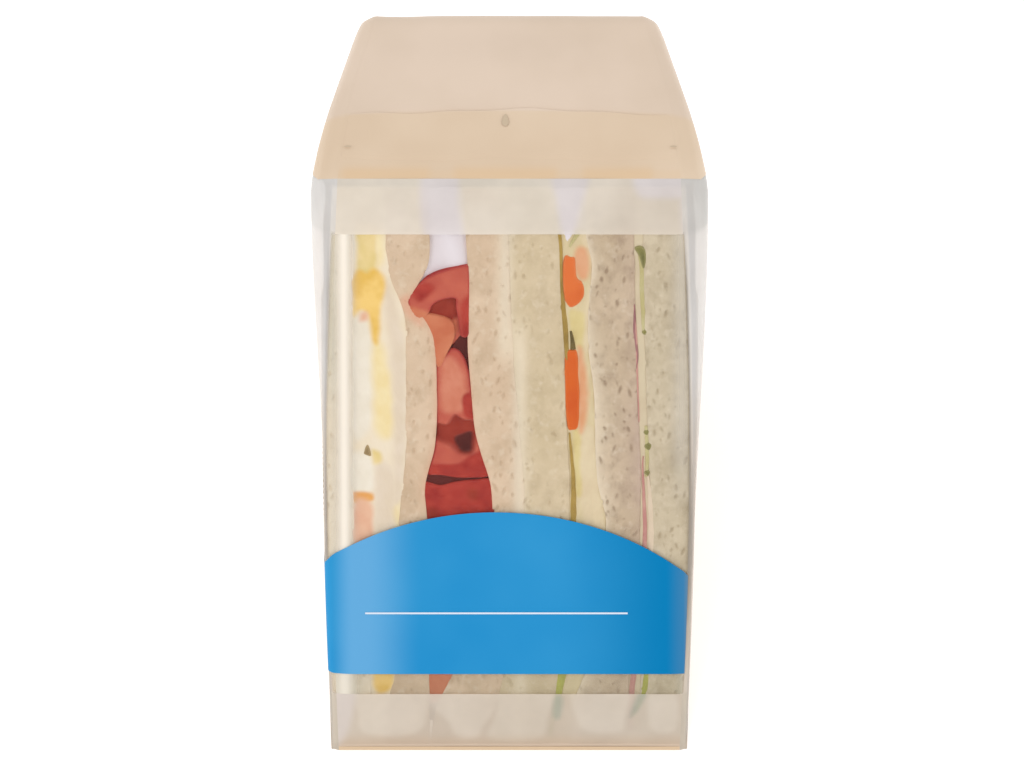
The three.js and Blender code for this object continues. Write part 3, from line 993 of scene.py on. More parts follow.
B6_LEFT = [(0, 30.5), (16, 30.8), (58, 33.6), (72, 32.7), (92, 31.9), (115, 31.4), (CUT, 31)]
B6_RIGHT = [(0, 41.2), (20, 42), (80, 42.9), (CUT, 41.4)]


def seam_streak(u, v):
    """A pale streak between the third and fourth slices."""
    high = np.exp(-0.5 * ((u + 0.9) / 1.4) ** 2) * smoothstep(v, 98, 106)
    low = np.exp(-0.5 * ((u - 2.6) / 1.3) ** 2) * fade(v, 104, 116)
    return 0.7 * np.clip(high + low, 0, 1)


def beside(distance, reach):
    """1 at a face and outside it, falling off inside it with that reach."""
    return np.exp(-np.clip(distance, 0, None) / reach)


def tomato_stain(u, v):
    """Bread that the tomato's juice has reached, on both sides of it."""
    inside = smoothstep(v, 60, 68) * fade(v, 119, 126)
    second, third = curve_of(B2_RIGHT, v), curve_of(B3_LEFT, v)
    left = beside(second - u, 0.8) * (u < second + 1)
    right = beside(u - third, 0.3) * (u > third - 1)
    foot = patched(u, v, [[(-25.5, 116), (-23.2, 117), (-20.6, 112.5), (-20.4, 109), (-24, 112)]], 1.2)
    return np.clip(0.5 * inside * np.clip(left + right, 0, 1) + 0.6 * foot, 0, 1)


def ham_stain(u, v):
    """The mauve shade beside the ham on the fifth slice."""
    near = beside(curve_of(B5_RIGHT, v) - u, 3.2)
    return 0.55 * near * (0.5 + 0.5 * smoothstep(v, 60, 70) * fade(v, 86, 98))


def potato_smear(u, v):
    """Potato salad smeared thinly over the left edge of the fifth slice."""
    return 0.75 * beside(u - curve_of(B5_LEFT, v), 1.7 + 0.9 * np.sin(v * 0.09) + 0.5 * np.sin(v * 0.31))


def fold_shade(u, v):
    """The first slice's edge beside the fold, dimmed with painted shade."""
    return (0.3 + 0.45 * smoothstep(v, 84, 106)) * smoothstep(-u, 39.6, 41)


def plain(u, v):
    return 0 * u


# Each slice: its two faces, its looks, its pale streaks and smears, its stains and painted shade, and the
# rounding of its two edges
SLICES = {
    "bread_slice_1": (B1_LEFT, B1_RIGHT, CRUMB_PALE, plain, fold_shade, (0.5, 0.05)),
    "bread_slice_2": (B2_LEFT, B2_RIGHT, CRUMB_WARM, plain, tomato_stain, (0.05, 0.12)),
    "bread_slice_3": (B3_LEFT, B3_RIGHT, CRUMB_WARM, seam_streak, tomato_stain, (0.12, 0.01)),
    "bread_slice_4": (B3_RIGHT, B4_RIGHT, CRUMB_CREAM, seam_streak, plain, (0.01, 0.08)),
    "bread_slice_5": (B5_LEFT, B5_RIGHT, CRUMB_GREY, potato_smear, ham_stain, (0.05, 0.08)),
    "bread_slice_6": (B6_LEFT, B6_RIGHT, CRUMB_DEEP, plain, plain, (0.08, 0.5)),
}


def pore_map():
    """The depth of long shallow pores of many sizes over the cut face, in mm."""
    pits = np.zeros(MAP_SHAPE)
    rng = np.random.default_rng(PORE_SEED)
    for _ in range(PORES):
        size = rng.uniform(0, 1) ** 3.5
        half_u = 0.15 + 0.38 * size
        half_v = half_u * rng.uniform(1.2, 3.0)
        lean = rng.uniform(-0.4, 0.4)
        depth = 0.06 + 0.3 * size + rng.uniform(0, 0.06)
        x, y = rng.uniform(0, MAP_WIDTH), rng.uniform(0, MAP_HEIGHT)
        reach = int(half_v * 1.5 / MAP_STEP) + 2
        i0, j0 = int(x / MAP_STEP), int(y / MAP_STEP)
        rows = np.arange(max(i0 - reach, 0), min(i0 + reach, MAP_SHAPE[0]))
        cols = np.arange(max(j0 - reach, 0), min(j0 + reach, MAP_SHAPE[1]))
        du = rows[:, None] * MAP_STEP - x
        dv = cols[None, :] * MAP_STEP - y
        far = ((du - lean * dv) / half_u) ** 2 + (dv / half_v) ** 2
        patch = pits[rows[0]:rows[-1] + 1, cols[0]:cols[-1] + 1]
        np.maximum(patch, depth * np.clip(1 - far, 0, 1), out=patch)
    return pits


PITS = pore_map()
GROUND = 0.05 * soft_noise(MAP_SHAPE, 2.2, 11) + 0.12 * soft_noise(MAP_SHAPE, 12, 12) + 0.12
WANDER = soft_noise(MAP_SHAPE, 5, 14)


def leg_depth(v):
    """How far back the slices reach from the cut face, at v."""
    legs = np.minimum(v, CUT - v) - LEG_GAP * math.sqrt(2)
    return np.minimum(legs, CUT / 2 - BACK_GAP)


def closed_curve(points, count):
    """A smooth closed curve through a few (u, v) places."""
    p = np.array(points, float) + (0, FOOD_RISE)
    n = len(p)
    t = np.linspace(0, n, count, endpoint=False)
    i = t.astype(int)
    f = (t - i)[:, None]
    a, b, c, d = (p[(i + k) % n] for k in (-1, 0, 1, 2))
    return 0.5 * (2 * b + (c - a) * f + (2 * a - 5 * b + 4 * c - d) * f**2 + (3 * b - a - 3 * c + d) * f**3)


def depth_inside(u, v, rim):
    """How far places lie inside a closed outline; negative outside it."""
    near = np.full(u.shape, np.inf)
    inside = np.zeros(u.shape, bool)
    for (u0, v0), (u1, v1) in zip(rim, np.roll(rim, -1, axis=0)):
        du, dv = u1 - u0, v1 - v0
        t = np.clip(((u - u0) * du + (v - v0) * dv) / (du * du + dv * dv + 1e-12), 0, 1)
        near = np.minimum(near, np.hypot(u - u0 - t * du, v - v0 - t * dv))
        if v0 != v1:
            inside ^= ((v0 > v) != (v1 > v)) & (u < u0 + (v - v0) * du / dv)
    return np.where(inside, near, -near)


def patched(u, v, outlines, soft, wander=0.0):
    """1 inside patches on the cut face and 0 outside them, with soft and slightly uneven edges."""
    u, v = np.broadcast_arrays(u, v)
    off = wander * sample(WANDER, u, v)
    rims = [closed_curve(outline, 6 * len(outline)) for outline in outlines]
    depths = [depth_inside(u + off, v + 0.6 * off, rim) for rim in rims]
    return smoothstep(np.max(depths, axis=0), -soft, soft)


def within_ends(u, v, w):
    """Places kept just inside the film of the two ends."""
    p = np.stack(np.broadcast_arrays(v, w), axis=-1)
    most = fold_half_width(p) - tuck(p) - END_GAP
    return np.clip(u, -most, most)


def patch_fields(name, u, v, wander):
    """A piece's patches of colour, and how far they are sunk in."""
    fields, sunk = {}, 0
    for key, (soft, sink, outlines) in PATCHES.get(name, {}).items():
        fields[key] = patched(u, v, outlines, soft, wander)
        sunk = sunk + sink * fields[key]
    return fields, sunk


def slab(name, left, right, looks, front, under, seed, low=2.4, high=CUT - 2.2, step=CRUMB_STEP,
         deepest=CUT, ragged=0.15, edges=(0.2, 0.2), pores=True, lumps=plain, pale=plain, stain=plain):
    """A layer between two faces of the stack, with relief and patches of colour on its cut face."""
    v = np.arange(low, high, step)
    u_left = curve_of(left, v) - under + ragged * soft_noise((len(v), 1), 5, seed + 5)[:, 0]
    u_right = curve_of(right, v) + under + ragged * soft_noise((len(v), 1), 5, seed + 6)[:, 0]
    columns = max(int((u_right - u_left).max() / step), 6)
    u = u_left[:, None] + (u_right - u_left)[:, None] * row(0, 1, columns)
    vv = v[:, None] + 0 * u
    pit = sample(PITS, u, vv) if pores else 0 * u
    fields, sunk = patch_fields(name, u, vv, 1.0)
    fields = {"pit": np.clip(pit / PIT_DEPTH, 0, 1), "pale": pale(u, vv), "stain": stain(u, vv), **fields}
    relief = sample(GROUND, u, vv) + pit + lumps(u, vv) + sunk
    relief = relief + rounded_in(u - u_left[:, None], edges[0]) + rounded_in(u_right[:, None] - u, edges[1])
    back = np.minimum(front + deepest, leg_depth(v))[:, None]
    w = np.minimum(front + bow(u, vv) + np.maximum(relief, -0.2), back - 0.1)
    w_right = w[:, -1:] + (back - w[:, -1:]) * SIDE_STEPS
    w_left = w[:, :1] + (back - w[:, :1]) * SIDE_STEPS[:, ::-1]
    u = np.concatenate([u, u[:, -1:] + 0 * w_right, u[:, :1] + 0 * w_left], axis=1)
    w = np.concatenate([w, w_right, w_left], axis=1)
    vv = v[:, None] + 0 * u
    points, faces = lofted(world(within_ends(u, vv, w), vv, w))
    sides = np.zeros((len(v), 2 * SIDE_STEPS.size))
    fields = {key: with_ends(np.concatenate([values, sides], axis=1)) for key, values in fields.items()}
    add_mesh(name, points, faces, looks, **fields)


def filled(outline, step):
    """Places and faces that fill a closed outline, and how far each place lies inside it."""
    rim = closed_curve(outline, max(8 * len(outline), 40))
    low, high = rim.min(0), rim.max(0)
    grid = np.stack(np.meshgrid(np.arange(low[0], high[0], step), np.arange(low[1], high[1], step)), -1)
    grid = grid.reshape(-1, 2)
    grid = grid[depth_inside(grid[:, 0], grid[:, 1], rim) > 0.4 * step]
    flat = [Vector(p) for p in np.concatenate([rim, grid]).tolist()]
    loop = [(i, (i + 1) % len(rim)) for i in range(len(rim))]
    places, _, faces, _, _, _ = delaunay_2d_cdt(flat, loop, [], 1, 1e-6)
    u, v = np.array([tuple(p) for p in places]).T
    return u, v, [list(face) for face in faces], np.maximum(depth_inside(u, v, rim), 0)


def plate_faces(faces, count):
    """Those faces, the same count of places on behind them, and the walls between."""
    edges = {(face[k], face[(k + 1) % len(face)]) for face in faces for k in range(len(face))}
    walls = [[b, a, a + count, b + count] for a, b in sorted(edges) if (b, a) not in edges]
    return faces + [[i + count for i in reversed(face)] for face in faces] + walls


def chunk(name, looks, front, seed, depth=5.0, round_edge=0.3, dome=0.2, bumps=0.12, step=0.3):
    """A piece of food with its outline on the cut face, however hollow, and with patches of colour on it."""
    u, v, faces, inside = filled(OUTLINES[name], step)
    w = front + rounded_in(inside, round_edge) + dome * fade(inside, 0, DOME_REACH)
    fields, sunk = patch_fields(name, u, v, 0.5)
    w = w + bumps * sample(WANDER, u + 7 * math.sin(seed), v) + bow(u, v) + sunk
    most = np.maximum(leg_depth(v), FILM_GAP + 0.1)
    w = np.clip(w, FILM_GAP, most - 0.05)
    back = np.minimum(np.maximum(w + 0.05, front + depth), most)
    points = np.concatenate([world(u, v, w), world(u, v, back)])
    fields = {"rim": fade(inside, 0, RIM_WIDTH), **fields}
    fields = {key: np.tile(values, 2) for key, values in fields.items()}
    add_mesh(name, points, plate_faces(faces, len(u)), looks, **fields)


def ribbon(name, looks, path, widths, front=0.5, waver=0.0, seed=1):
    """A thin layer seen edge on: a band along a path on the cut face."""
    path = np.array(path, float) + (0, FOOD_RISE)
    far = distances(path)
    count = max(int(far[-1] / 0.5), 8)
    t = np.linspace(0, far[-1], count)
    line = smoothed(np.stack([np.interp(t, far, path[:, k]) for k in (0, 1)], axis=1), 2.5)
    half = np.interp(t, np.linspace(0, far[-1], len(widths)), widths) / 2
    line = line + waver * soft_noise((count, 2), 3, seed)
    across = outward(line)
    angles = np.linspace(0, math.pi, 7)
    offs = [(math.cos(a), front + (1 - math.sin(a)) * 0.4, 1 - math.sin(a)) for a in angles]
    offs += [(-1, front + RIBBON_DEPTH, 1), (1, front + RIBBON_DEPTH, 1)]
    uv = np.stack([line + across * (half * off[0])[:, None] for off in offs], axis=1)
    w, edge = (np.array([[off[k] for off in offs]] * count) for k in (1, 2))
    w = np.minimum(w, np.maximum(leg_depth(uv[..., 1]), FILM_GAP))
    points, faces = lofted(world(uv[..., 0], uv[..., 1], w))
    add_mesh(name, points, faces, looks, rim=with_ends(edge))


def box(left, low, right, high):
    """The outline of an upright box on the cut face."""
    return [(left, high), (right, high), (right, low), (left, low)]


# Outlines of pieces of food on the cut face
OUTLINES = {
    "egg_speck": [(-34.1, 76.6), (-33, 78.6), (-32.2, 75.8), (-33.7, 76)],
    "tomato_cavity": [
        (-20, 111.4), (-18.4, 115.6), (-15.6, 117), (-11.6, 117.4), (-10.6, 112.5), (-10.2, 106),
        (-13, 103.8), (-17, 108)],
    "tomato_slice_top": [
        (-23.6, 115.2), (-22.6, 118), (-20.3, 120.7), (-18.5, 122.1), (-14.1, 123.9), (-10.1, 124.8),
        (-9.3, 124), (-9.1, 118), (-9.2, 112.3), (-9.4, 107), (-11.2, 106.6), (-11.8, 110.6),
        (-12.4, 114), (-12.6, 116.2), (-15.6, 115.9), (-17.8, 114.6), (-18.8, 112.5), (-20.6, 111.2),
        (-22.2, 112)],
    "tomato_pillar": [
        (-21.4, 112.2), (-17.4, 112), (-13.6, 110.6), (-12.6, 108), (-13, 105.2), (-14.4, 102.2),
        (-15.8, 98.8), (-17, 99.2), (-17.6, 103.6), (-18.8, 108.4)],
    "tomato_hollow": [
        (-13.6, 102.4), (-12.4, 105.3), (-10.5, 107.1), (-9.1, 105), (-9.1, 100.4), (-11.9, 101.2)],
    "tomato_body": [
        (-16.9, 100.2), (-14.8, 101.7), (-13.3, 103.2), (-11.4, 102.4), (-9.9, 99.3), (-8.9, 94.4),
        (-8.4, 89.3), (-8, 84.1), (-7.2, 80.2), (-6.1, 75.5), (-5, 73), (-4.8, 70.3), (-11.4, 69.9),
        (-16.1, 70.6), (-19, 70.9), (-18.4, 73.7), (-17.4, 78.1), (-16.9, 82.8), (-17.1, 90.5)],
    "tomato_gap": [
        (-19.6, 71.4), (-16.1, 71.4), (-12.6, 70.4), (-4.9, 70.1), (-4.9, 69), (-11.4, 68.8), (-14.9, 68),
        (-18.7, 68.2)],
    "tomato_slice_bottom": [
        (-20.1, 68.6), (-16.1, 68), (-12.6, 68.9), (-8, 69.5), (-4, 69.4), (-3.3, 64.7), (-3.4, 60.8),
        (-5.4, 49.2), (-8.9, 28.5), (-12.4, 20.7), (-15.9, 12.9), (-18.9, 12.9), (-19.2, 28.5),
        (-19.4, 49.2), (-19.6, 62)],
    "carrot_hook": [
        (12.8, 126.8), (14.4, 127.1), (15.3, 126.6), (15.5, 123.8), (15.9, 121.4), (17, 120.4),
        (17.6, 118.6), (17.2, 116.4), (15.8, 114.6), (14, 114), (12.8, 116.4), (12.4, 121.6)],
    "carrot_bar": [
        (13.2, 102.6), (14.6, 103), (15.8, 102.4), (16.2, 97), (16.4, 89), (16.1, 83.4), (14.8, 82.4),
        (13.6, 83.2), (13, 90.5), (12.9, 98.3)],
    "salad_gap": [(10.9, 140), (17.2, 140), (15.3, 134), (13.4, 130.6), (12.4, 134)],
    "greens_tip": [(29.2, 129.2), (30.4, 129.8), (31.6, 128.8), (31.8, 126), (31.2, 124), (30.2, 127.2)],
}

# Small leaves of greens: their place on the cut face and their size, and their shape at size 1
GREENS_BITS = (
    (32, 81.8, 0.65), (32.4, 78.2, 0.85), (32.2, 71.4, 0.65), (31.5, 107.6, 0.6), (29.6, 9.8, 0.7))
BIT_SHAPE = ((-1, 0), (0, 1.4), (1, 0.3), (0.2, -1.2))
for bit, (bit_u, bit_v, bit_size) in enumerate(GREENS_BITS, 1):
    OUTLINES[f"greens_bit_{bit}"] = [(bit_u + bit_size * u, bit_v + bit_size * v) for u, v in BIT_SHAPE]

# Patches of colour on the food: how soft each one's edge is, how far it is sunk in, and its outlines
PATCHES = {
    "egg_salad": {
        "white": (1.2, -0.1, [
            [(-36.5, 110.5), (-34.4, 111.6), (-32.5, 109.2), (-31.8, 104.8), (-32, 93), (-32.5, 82.8),
             (-36.2, 80.2), (-37.4, 90.5), (-37, 103.5)],
            [(-37.4, 76), (-32, 75.4), (-31.6, 67.3), (-37, 66.7)],
            [(-36.8, 133), (-35.4, 133), (-35.8, 127), (-37.2, 126)]]),
        "butter": (1.5, 0.0, [
            [(-31.6, 104.8), (-29.2, 103.5), (-27.4, 94.4), (-26.9, 84), (-28.3, 80.2), (-31.1, 82.8),
             (-31.8, 95.7)],
            [(-31.4, 134), (-29.4, 134), (-29.2, 127), (-30.6, 125)],
            [(-27.4, 62.4), (-25.3, 62.4), (-25.5, 52), (-28, 52)]]),
        "cream": (1.2, -0.05, [
            [(-28.3, 121), (-25.9, 113), (-24.3, 104), (-24, 90.5), (-24.2, 77.6), (-25.4, 64.7),
             (-27.4, 64.7), (-26.9, 80), (-27, 90.5), (-28, 106), (-29.2, 117)],
            [(-31.1, 72.8), (-26.9, 71.4), (-26.4, 62), (-27.4, 48), (-31.1, 48)]]),
        "yolk": (0.9, -0.1, [
            [(-36.5, 121.8), (-35.2, 123.6), (-33.2, 123), (-31.1, 124.2), (-28.9, 121.2), (-28.8, 118.5),
             (-29.7, 114.9), (-29.9, 109.9), (-30.6, 104.8), (-31.8, 105.3), (-32.5, 110.7),
             (-34.4, 113.3), (-36.3, 111.8), (-36.7, 116.4), (-37, 120.3)],
            [(-31.6, 21.5), (-27.3, 21.5), (-27.3, 16), (-30.2, 14.2), (-31.6, 16)]]),
        "tip": (0.8, -0.05, [
            [(-35.4, 135), (-31.3, 135), (-31, 128.8), (-31, 121.8), (-35.4, 121.4), (-35.2, 129.3)],
            [(-32, 77.3), (-30.2, 76.8), (-29.7, 74.4), (-31.6, 74)]]),
        "orange": (0.6, -0.05, [[(-37, 66.3), (-32.3, 66.3), (-32, 64.2), (-36.7, 63.6)]]),
        "pink": (0.9, -0.1, [
            [(-36.3, 63.4), (-32.3, 63.6), (-31.8, 56.9), (-31.6, 48), (-36.3, 48)],
            [(-34.7, 112.4), (-33.2, 112.8), (-33, 111), (-34.7, 110.6)]]),
    },
    # On tomato_inner, tomato_cavity, tomato_hollow, tomato_body and tomato_gap the dark and black patches
    # are painted shade
    "tomato_inner": {
        "dark": (1.0, 0.0, [box(-30, -5, 5, 125)]),
    },
    "tomato_cavity": {
        "dark": (0.7, 0.0, [
            [(-20.6, 111.4), (-18, 116.8), (-11.4, 118), (-11, 112.4), (-13.4, 110.4), (-17, 110)]]),
        "orange": (0.5, -0.2, [[(-13.4, 111), (-12.4, 110.6), (-12.2, 107.4), (-13, 107)]]),
    },
    "tomato_slice_top": {
        "red": (0.9, 0.0, [
            [(-22.6, 117.8), (-19.8, 120.4), (-17.4, 118.8), (-20.8, 115.4)],
            [(-11.2, 115), (-8.4, 117), (-8.8, 107), (-11, 107)]]),
        "orange": (0.9, 0.0, [
            [(-24, 114.4), (-20.8, 113.6), (-18.2, 112.4), (-20.6, 110.4), (-23, 111)]]),
    },
    "tomato_pillar": {
        "orange": (0.8, 0.0, [box(-21, 97, -12, 115)]),
    },
    "tomato_hollow": {
        "black": (0.5, 0.0, [box(-15, 99, -8, 108)]),
    },
    "tomato_body": {
        "pale": (1.1, -0.1, [
            [(-15.8, 99.4), (-13.8, 101.2), (-11.6, 99), (-10.2, 95), (-9.8, 90), (-11, 87.4),
             (-15.4, 87.4), (-16, 93)]]),
        "red": (0.5, 0.0, [
            [(-10.8, 91.2), (-8.4, 91.4), (-8, 85.2), (-10.4, 86.2)],
            [(-19, 73.4), (-12, 73.8), (-9, 76), (-5.4, 76.6), (-4.6, 70), (-19, 70.4)]]),
        "dark": (0.6, 0.9, [
            [(-17, 83.6), (-14.4, 83.8), (-12.6, 86.2), (-10.6, 85), (-7.8, 84), (-7.8, 80), (-8.6, 76.4),
             (-11.6, 76.2), (-13.8, 78.4), (-17, 80)]]),
        "black": (0.45, 0.4, [
            [(-12.8, 79.8), (-10.8, 81), (-8.9, 81.4), (-8.7, 78.6), (-9.2, 76.6), (-11.4, 76.6)]]),
    },
    "tomato_gap": {
        "black": (0.3, 0.0, [box(-22, 66, -3, 74)]),
    },
    "tomato_slice_bottom": {
        "red": (1.5, 0.0, [box(-24, 30, 0, 74)]),
        "orange": (1.5, 0.0, [box(-24, 6, 0, 24)]),
        "dark": (0.9, 0.0, [
            [(-9.6, 67.4), (-7.4, 67), (-7.6, 64.6), (-9.4, 65)],
            [(-19.8, 62), (-16.8, 62), (-17, 58), (-19.8, 58)]]),
    },
    "potato_salad": {
        "cream": (0.8, -0.1, [
            [(16.6, 131.6), (19.4, 132), (19.8, 125), (18.6, 120), (17.8, 113), (17.4, 104), (18.4, 104),
             (20, 122)],
            [(15.5, 82.3), (19.6, 82.8), (20.4, 75), (21.4, 66), (22.2, 57), (18, 57), (16.4, 66),
             (15.6, 75)]]),
        "butter": (0.7, 0.0, [
            [(14, 113), (17.4, 112), (17, 104), (15.4, 104), (14.2, 108)],
            [(14.8, 82), (16.4, 82), (16.6, 74), (17, 66), (15.4, 66), (14.9, 74)]]),
        "salmon": (0.9, 0.0, [
            [(15.4, 128.8), (18, 128.8), (18.7, 124.7), (18, 121.4), (16.2, 121.3), (15.2, 124.2)],
            [(15.9, 103), (17.6, 100), (18.3, 92), (17.9, 84.4), (16.2, 82.8)]]),
    },
}


def egg_lumps(u, v):
    return 0.08 * (1 + np.sin(u * 1.1 + 0.16 * v) * np.sin(v * 0.33)) + 0.05 * np.sin(u * 2.3 + v * 0.9)


def build_egg():
    """Egg salad between the first two slices: dressing, whites, yolk, an orange and a pink piece."""
    slab("egg_salad", B1_RIGHT, B2_LEFT, EGG_MIXTURE, front=0.46, deepest=40, pores=False,
         lumps=egg_lumps, ragged=0.3, under=0.5, seed=40)
    chunk("egg_speck", SPECK, front=0.5, depth=2, round_edge=0.2, dome=0.05, step=0.2, seed=54)


def build_tomato():
    """Tomato slices between the second and third slices, stacked up the cut face."""
    slab("tomato_inner", B2_RIGHT, B3_LEFT, TOMATO, front=2.6, low=7.5, high=116.5, deepest=36,
         pores=False, under=0.3, step=0.5, seed=60)
    chunk("tomato_cavity", TOMATO, front=1.5, seed=62)
    chunk("tomato_slice_top", TOMATO, front=0.46, round_edge=0.2, dome=0.05, bumps=0.08, seed=61)
    chunk("tomato_pillar", TOMATO, front=0.5, dome=0.1, seed=63)
    chunk("tomato_hollow", TOMATO, front=1.3, seed=69)
    chunk("tomato_body", TOMATO, front=0.66, seed=64)
    # A dark piece where the gap between two tomato slices shows: painted shade
    chunk("tomato_gap", TOMATO, front=1.1, depth=2, round_edge=0.2, dome=0.1, seed=45)
    chunk("tomato_slice_bottom", TOMATO, front=0.5, round_edge=0.4, seed=68)


def potato_lumps(u, v):
    return 0.12 * (1 + np.sin(u * 1.3 + v * 0.21) * np.sin(v * 0.27 + 1)) + 0.06 * np.sin(u * 2.6 - v * 0.7)


def build_potato():
    """Potato salad between the fourth and fifth slices, with carrot and a thread of greens."""
    slab("potato_salad", B4_RIGHT, B5_LEFT, POTATO_MIXTURE, front=0.6, high=135, deepest=40, pores=False,
         lumps=potato_lumps, ragged=0.3, under=0.4, seed=70)
    chunk("carrot_hook", PALE_CARROT, front=0.45, dome=0.1, bumps=0.05, seed=71)
    chunk("carrot_bar", CARROT, front=0.45, dome=0.1, bumps=0.05, seed=73)
    # salad_gap is a pale piece in the gap above the potato salad, painted light like the linings
    chunk("salad_gap", LIT_LINING, front=0.5, depth=1, seed=92)
    ribbon("olive_leaf_high", OLIVE,
           [(11.5, 134), (12, 129), (12.1, 120), (12.7, 112), (13.2, 105.6), (13.5, 100)],
           [1.0, 0.9, 0.8, 1.3, 1.6, 0.8])
    ribbon("olive_leaf_side", PALE_GREENS, [(16.4, 133.6), (15, 131.4), (13.8, 129)], [1.2, 0.9, 0.5])
    ribbon("olive_leaf_corner", DARK_OLIVE, [(14.2, 108.4), (14.8, 105.4), (14.9, 102.6)],
           [0.5, 0.9, 1.4])
    ribbon("olive_leaf_low", OLIVE,
           [(13.9, 82), (14.4, 77), (14.8, 73), (15, 69), (15.1, 64), (14.9, 58), (14.2, 40)],
           [0.4, 0.8, 1.1, 1.6, 1.0, 0.7, 0.7], waver=0.2, seed=76)
    ribbon("olive_leaf_bottom", BRIGHT_GREENS, [(12.4, 21), (12, 16), (10.5, 8), (9.4, 3)],
           [2.6, 1.8, 1.2, 1.0], waver=0.2, seed=77)


def build_ham():
    """Ham, greens and a pale spread in the thin gap between the last two slices."""
    slab("pale_spread", B5_RIGHT, B6_LEFT, SPREAD, front=0.65, deepest=40, pores=False, ragged=0.2,
         under=0.4, step=0.4, seed=80)
    ribbon("ham_high", HAM, [(29, 115), (29.6, 106), (29.8, 98), (30.3, 84)], [0.3, 0.7, 0.5, 0.3])
    ribbon("ham_edge", HAM_EDGE, [(29, 115.4), (29.2, 111), (29.5, 105.6), (29.8, 98)],
           [0.3, 1.0, 0.9, 0.3], front=0.48, waver=0.2, seed=95)
    ribbon("ham_low", HAM, [(31.1, 76), (31.4, 66), (31.8, 55), (31.4, 40), (28.9, 17), (28.4, 4)],
           [0.3, 1.0, 1.3, 1.2, 1.5, 1.3], waver=0.2, seed=82)
    ribbon("cream_strip", CREAM, [(32.2, 71), (32.9, 66), (33.3, 58), (33, 48)], [0.6, 1.4, 1.9, 1.4],
           front=0.48, waver=0.1, seed=90)
    ribbon("greens_high", PALE_GREENS, [(30.6, 128), (30.9, 124), (31, 118), (31.4, 107)],
           [1.2, 1.5, 1.3, 0.9], front=0.56, waver=0.2, seed=83)
    ribbon("greens_low", PALE_GREENS, [(31.9, 84), (32.2, 77), (32.1, 70)], [0.8, 1.2, 0.8], waver=0.1,
           seed=91)
    chunk("greens_tip", GREENS, front=0.46, depth=3, round_edge=0.1, dome=0, bumps=0, step=0.2, seed=84)
    ribbon("greens_bottom", BRIGHT_GREENS, [(32.2, 21), (32, 16), (30.8, 12), (28.8, 8)],
           [1.6, 2.0, 0.9, 0.4], front=0.46, waver=0.3, seed=94)
    for k in range(len(GREENS_BITS)):
        chunk(f"greens_bit_{k + 1}", GREENS, front=0.42, seed=85 + k, depth=3, round_edge=0.2, dome=0.05,
              step=0.2)


def build_bread():
    """The six slices; the fourth starts just under the third, so that no gap shows between them."""
    for k, (name, (left, right, looks, pale, stain, edges)) in enumerate(SLICES.items()):
        behind_third = 0.04 if name == "bread_slice_4" else 0
        slab(name, left, right, looks, FILM_GAP + behind_third, 5 * behind_third, 100 + 10 * k,
             edges=edges, pale=pale, stain=stain)


def lit_lining(name, left, right, low, high, behind):
    """A pale sheet just behind a gap between two slices, standing in for the film further back, with the
    light through that film painted on.
    """
    v, share = column(low, high, 40), row(0, 1, 9)
    u_left, u_right = curve_of(left, v), curve_of(right, v)
    u = u_left - LIT_LINING_UNDER + (u_right - u_left + 2 * LIT_LINING_UNDER) * share
    w = behind + 0.4 * np.sin(share * math.pi * 2 + v * 0.2)
    w = np.minimum(w, np.maximum(leg_depth(v), FILM_GAP))
    add_grid(name, world(u, v + 0 * u, w), LIT_LINING)


def build_lit_linings():
    lit_lining("lit_lining_above_tomato", B2_RIGHT, B3_LEFT, 118.4, CUT - 3, 1.5)
    lit_lining("lit_lining_above_potato", B4_RIGHT, B5_LEFT, 134, CUT - 3, 1.2)


# Stage

FLOOR_HALF = 3.0
FLOOR_TONE = 0.95
FLOOR_GLOW = 0.26
WORLD_STRENGTH = 0.67
LIGHT_AIM = (0, 0, 0.05)
# Each light: its place, its width and height, and its watts
LIGHTS = {
    "key": ((-0.7, -0.5, 1.3), (0.9, 0.9), 6.25),
    "fill": ((0.8, -0.6, 1.0), (0.9, 0.9), 2.9),
    "back": ((0.1, 1.0, 1.0), (1.0, 0.6), 2),
    "side_left": ((-1.1, 0.1, 0.45), (0.6, 0.6), 2.2),
    "side_right": ((1.1, 0.1, 0.45), (0.6, 0.6), 2.2),
}


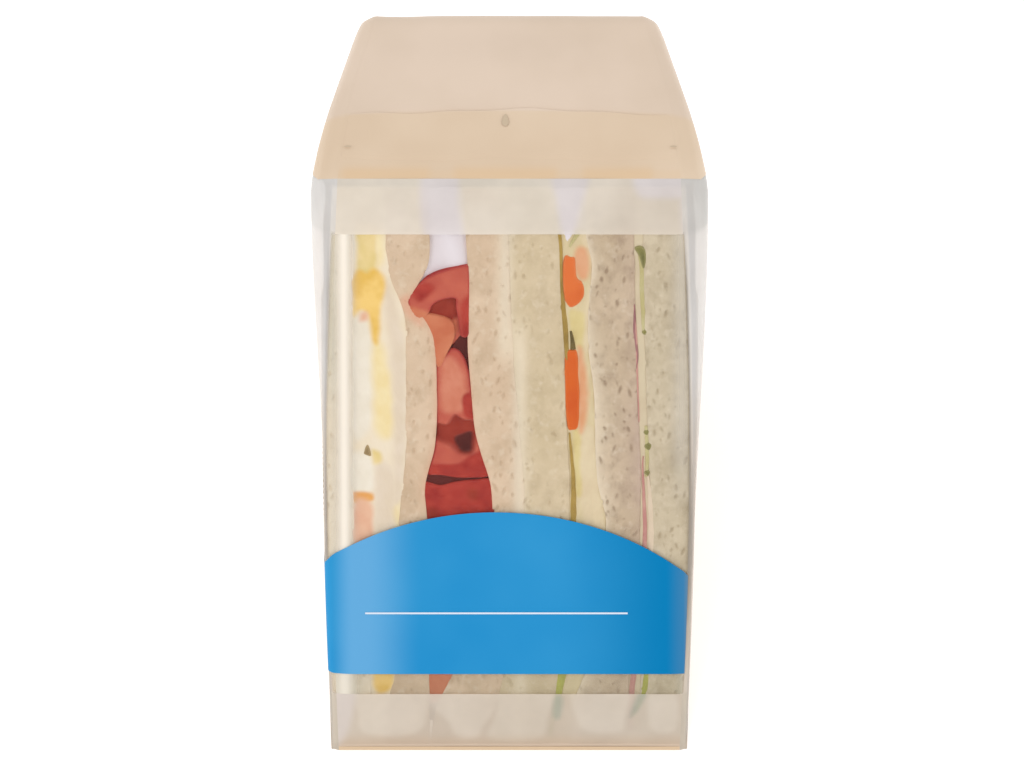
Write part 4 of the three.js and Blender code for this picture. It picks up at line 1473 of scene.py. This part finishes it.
def build_stage():
    """The floor, nearly white and glowing faintly."""
    mesh = bpy.data.meshes.new("floor")
    corners = [(FLOOR_HALF * x, FLOOR_HALF * y, 0) for x, y in ((-1, -1), (1, -1), (1, 1), (-1, 1))]
    mesh.from_pydata(corners, [], [(0, 1, 2, 3)])
    floor = bpy.data.objects.new("floor", mesh)
    bpy.context.scene.collection.objects.link(floor)
    looks = Looks("floor", None, 0.8, Specular_IOR_Level=0.2, Base_Color=(FLOOR_TONE,) * 3 + (1,),
                  Emission_Color=(1, 1, 1, 1), Emission_Strength=FLOOR_GLOW)
    mesh.materials.append(looks.material)


def add_aimed(name, data, place, target):
    """A light or camera at a place, turned to look at its target."""
    piece = bpy.data.objects.new(name, data)
    piece.location = place
    piece.rotation_euler = (Vector(target) - piece.location).to_track_quat("-Z", "Y").to_euler()
    bpy.context.scene.collection.objects.link(piece)
    return piece


def build_lights():
    """A white surrounding and five soft lights."""
    studio = bpy.data.worlds.new("studio")
    studio.use_nodes = True
    background = studio.node_tree.nodes["Background"]
    background.inputs["Color"].default_value = (1, 1, 1, 1)
    background.inputs["Strength"].default_value = WORLD_STRENGTH
    bpy.context.scene.world = studio
    for name, (place, size, watts) in LIGHTS.items():
        data = bpy.data.lights.new(name, "AREA")
        data.shape = "RECTANGLE"
        data.size, data.size_y = size
        data.energy = watts
        add_aimed(name, data, place, LIGHT_AIM)


def build_camera():
    """The photo's view: square to the pack's width, and CAMERA_TURN degrees above the cut face's normal."""
    up = (PHOTO_BOTTOM_Y - PHOTO_HEIGHT / 2) * PHOTO_MM_PER_PIXEL / math.cos(math.radians(CAMERA_TURN))
    target = Vector(world((PHOTO_WIDTH / 2 - PHOTO_MIDDLE_X) * PHOTO_MM_PER_PIXEL, up, 0.0))
    elevation = math.radians(45 + CAMERA_TURN)
    data = bpy.data.cameras.new("camera")
    data.sensor_width = SENSOR_WIDTH
    data.lens = SENSOR_WIDTH * CAMERA_DISTANCE / (PHOTO_WIDTH * PHOTO_MM_PER_PIXEL * MM)
    data.clip_end = CAMERA_CLIP_END
    place = target + CAMERA_DISTANCE * Vector((0, -math.cos(elevation), math.sin(elevation)))
    bpy.context.scene.camera = add_aimed("camera", data, place, target)
    bpy.context.scene.view_settings.view_transform = "Standard"


build_camera()
build_stage()
build_lights()
build_bread()
build_egg()
build_tomato()
build_potato()
build_ham()
build_lit_linings()
build_film()
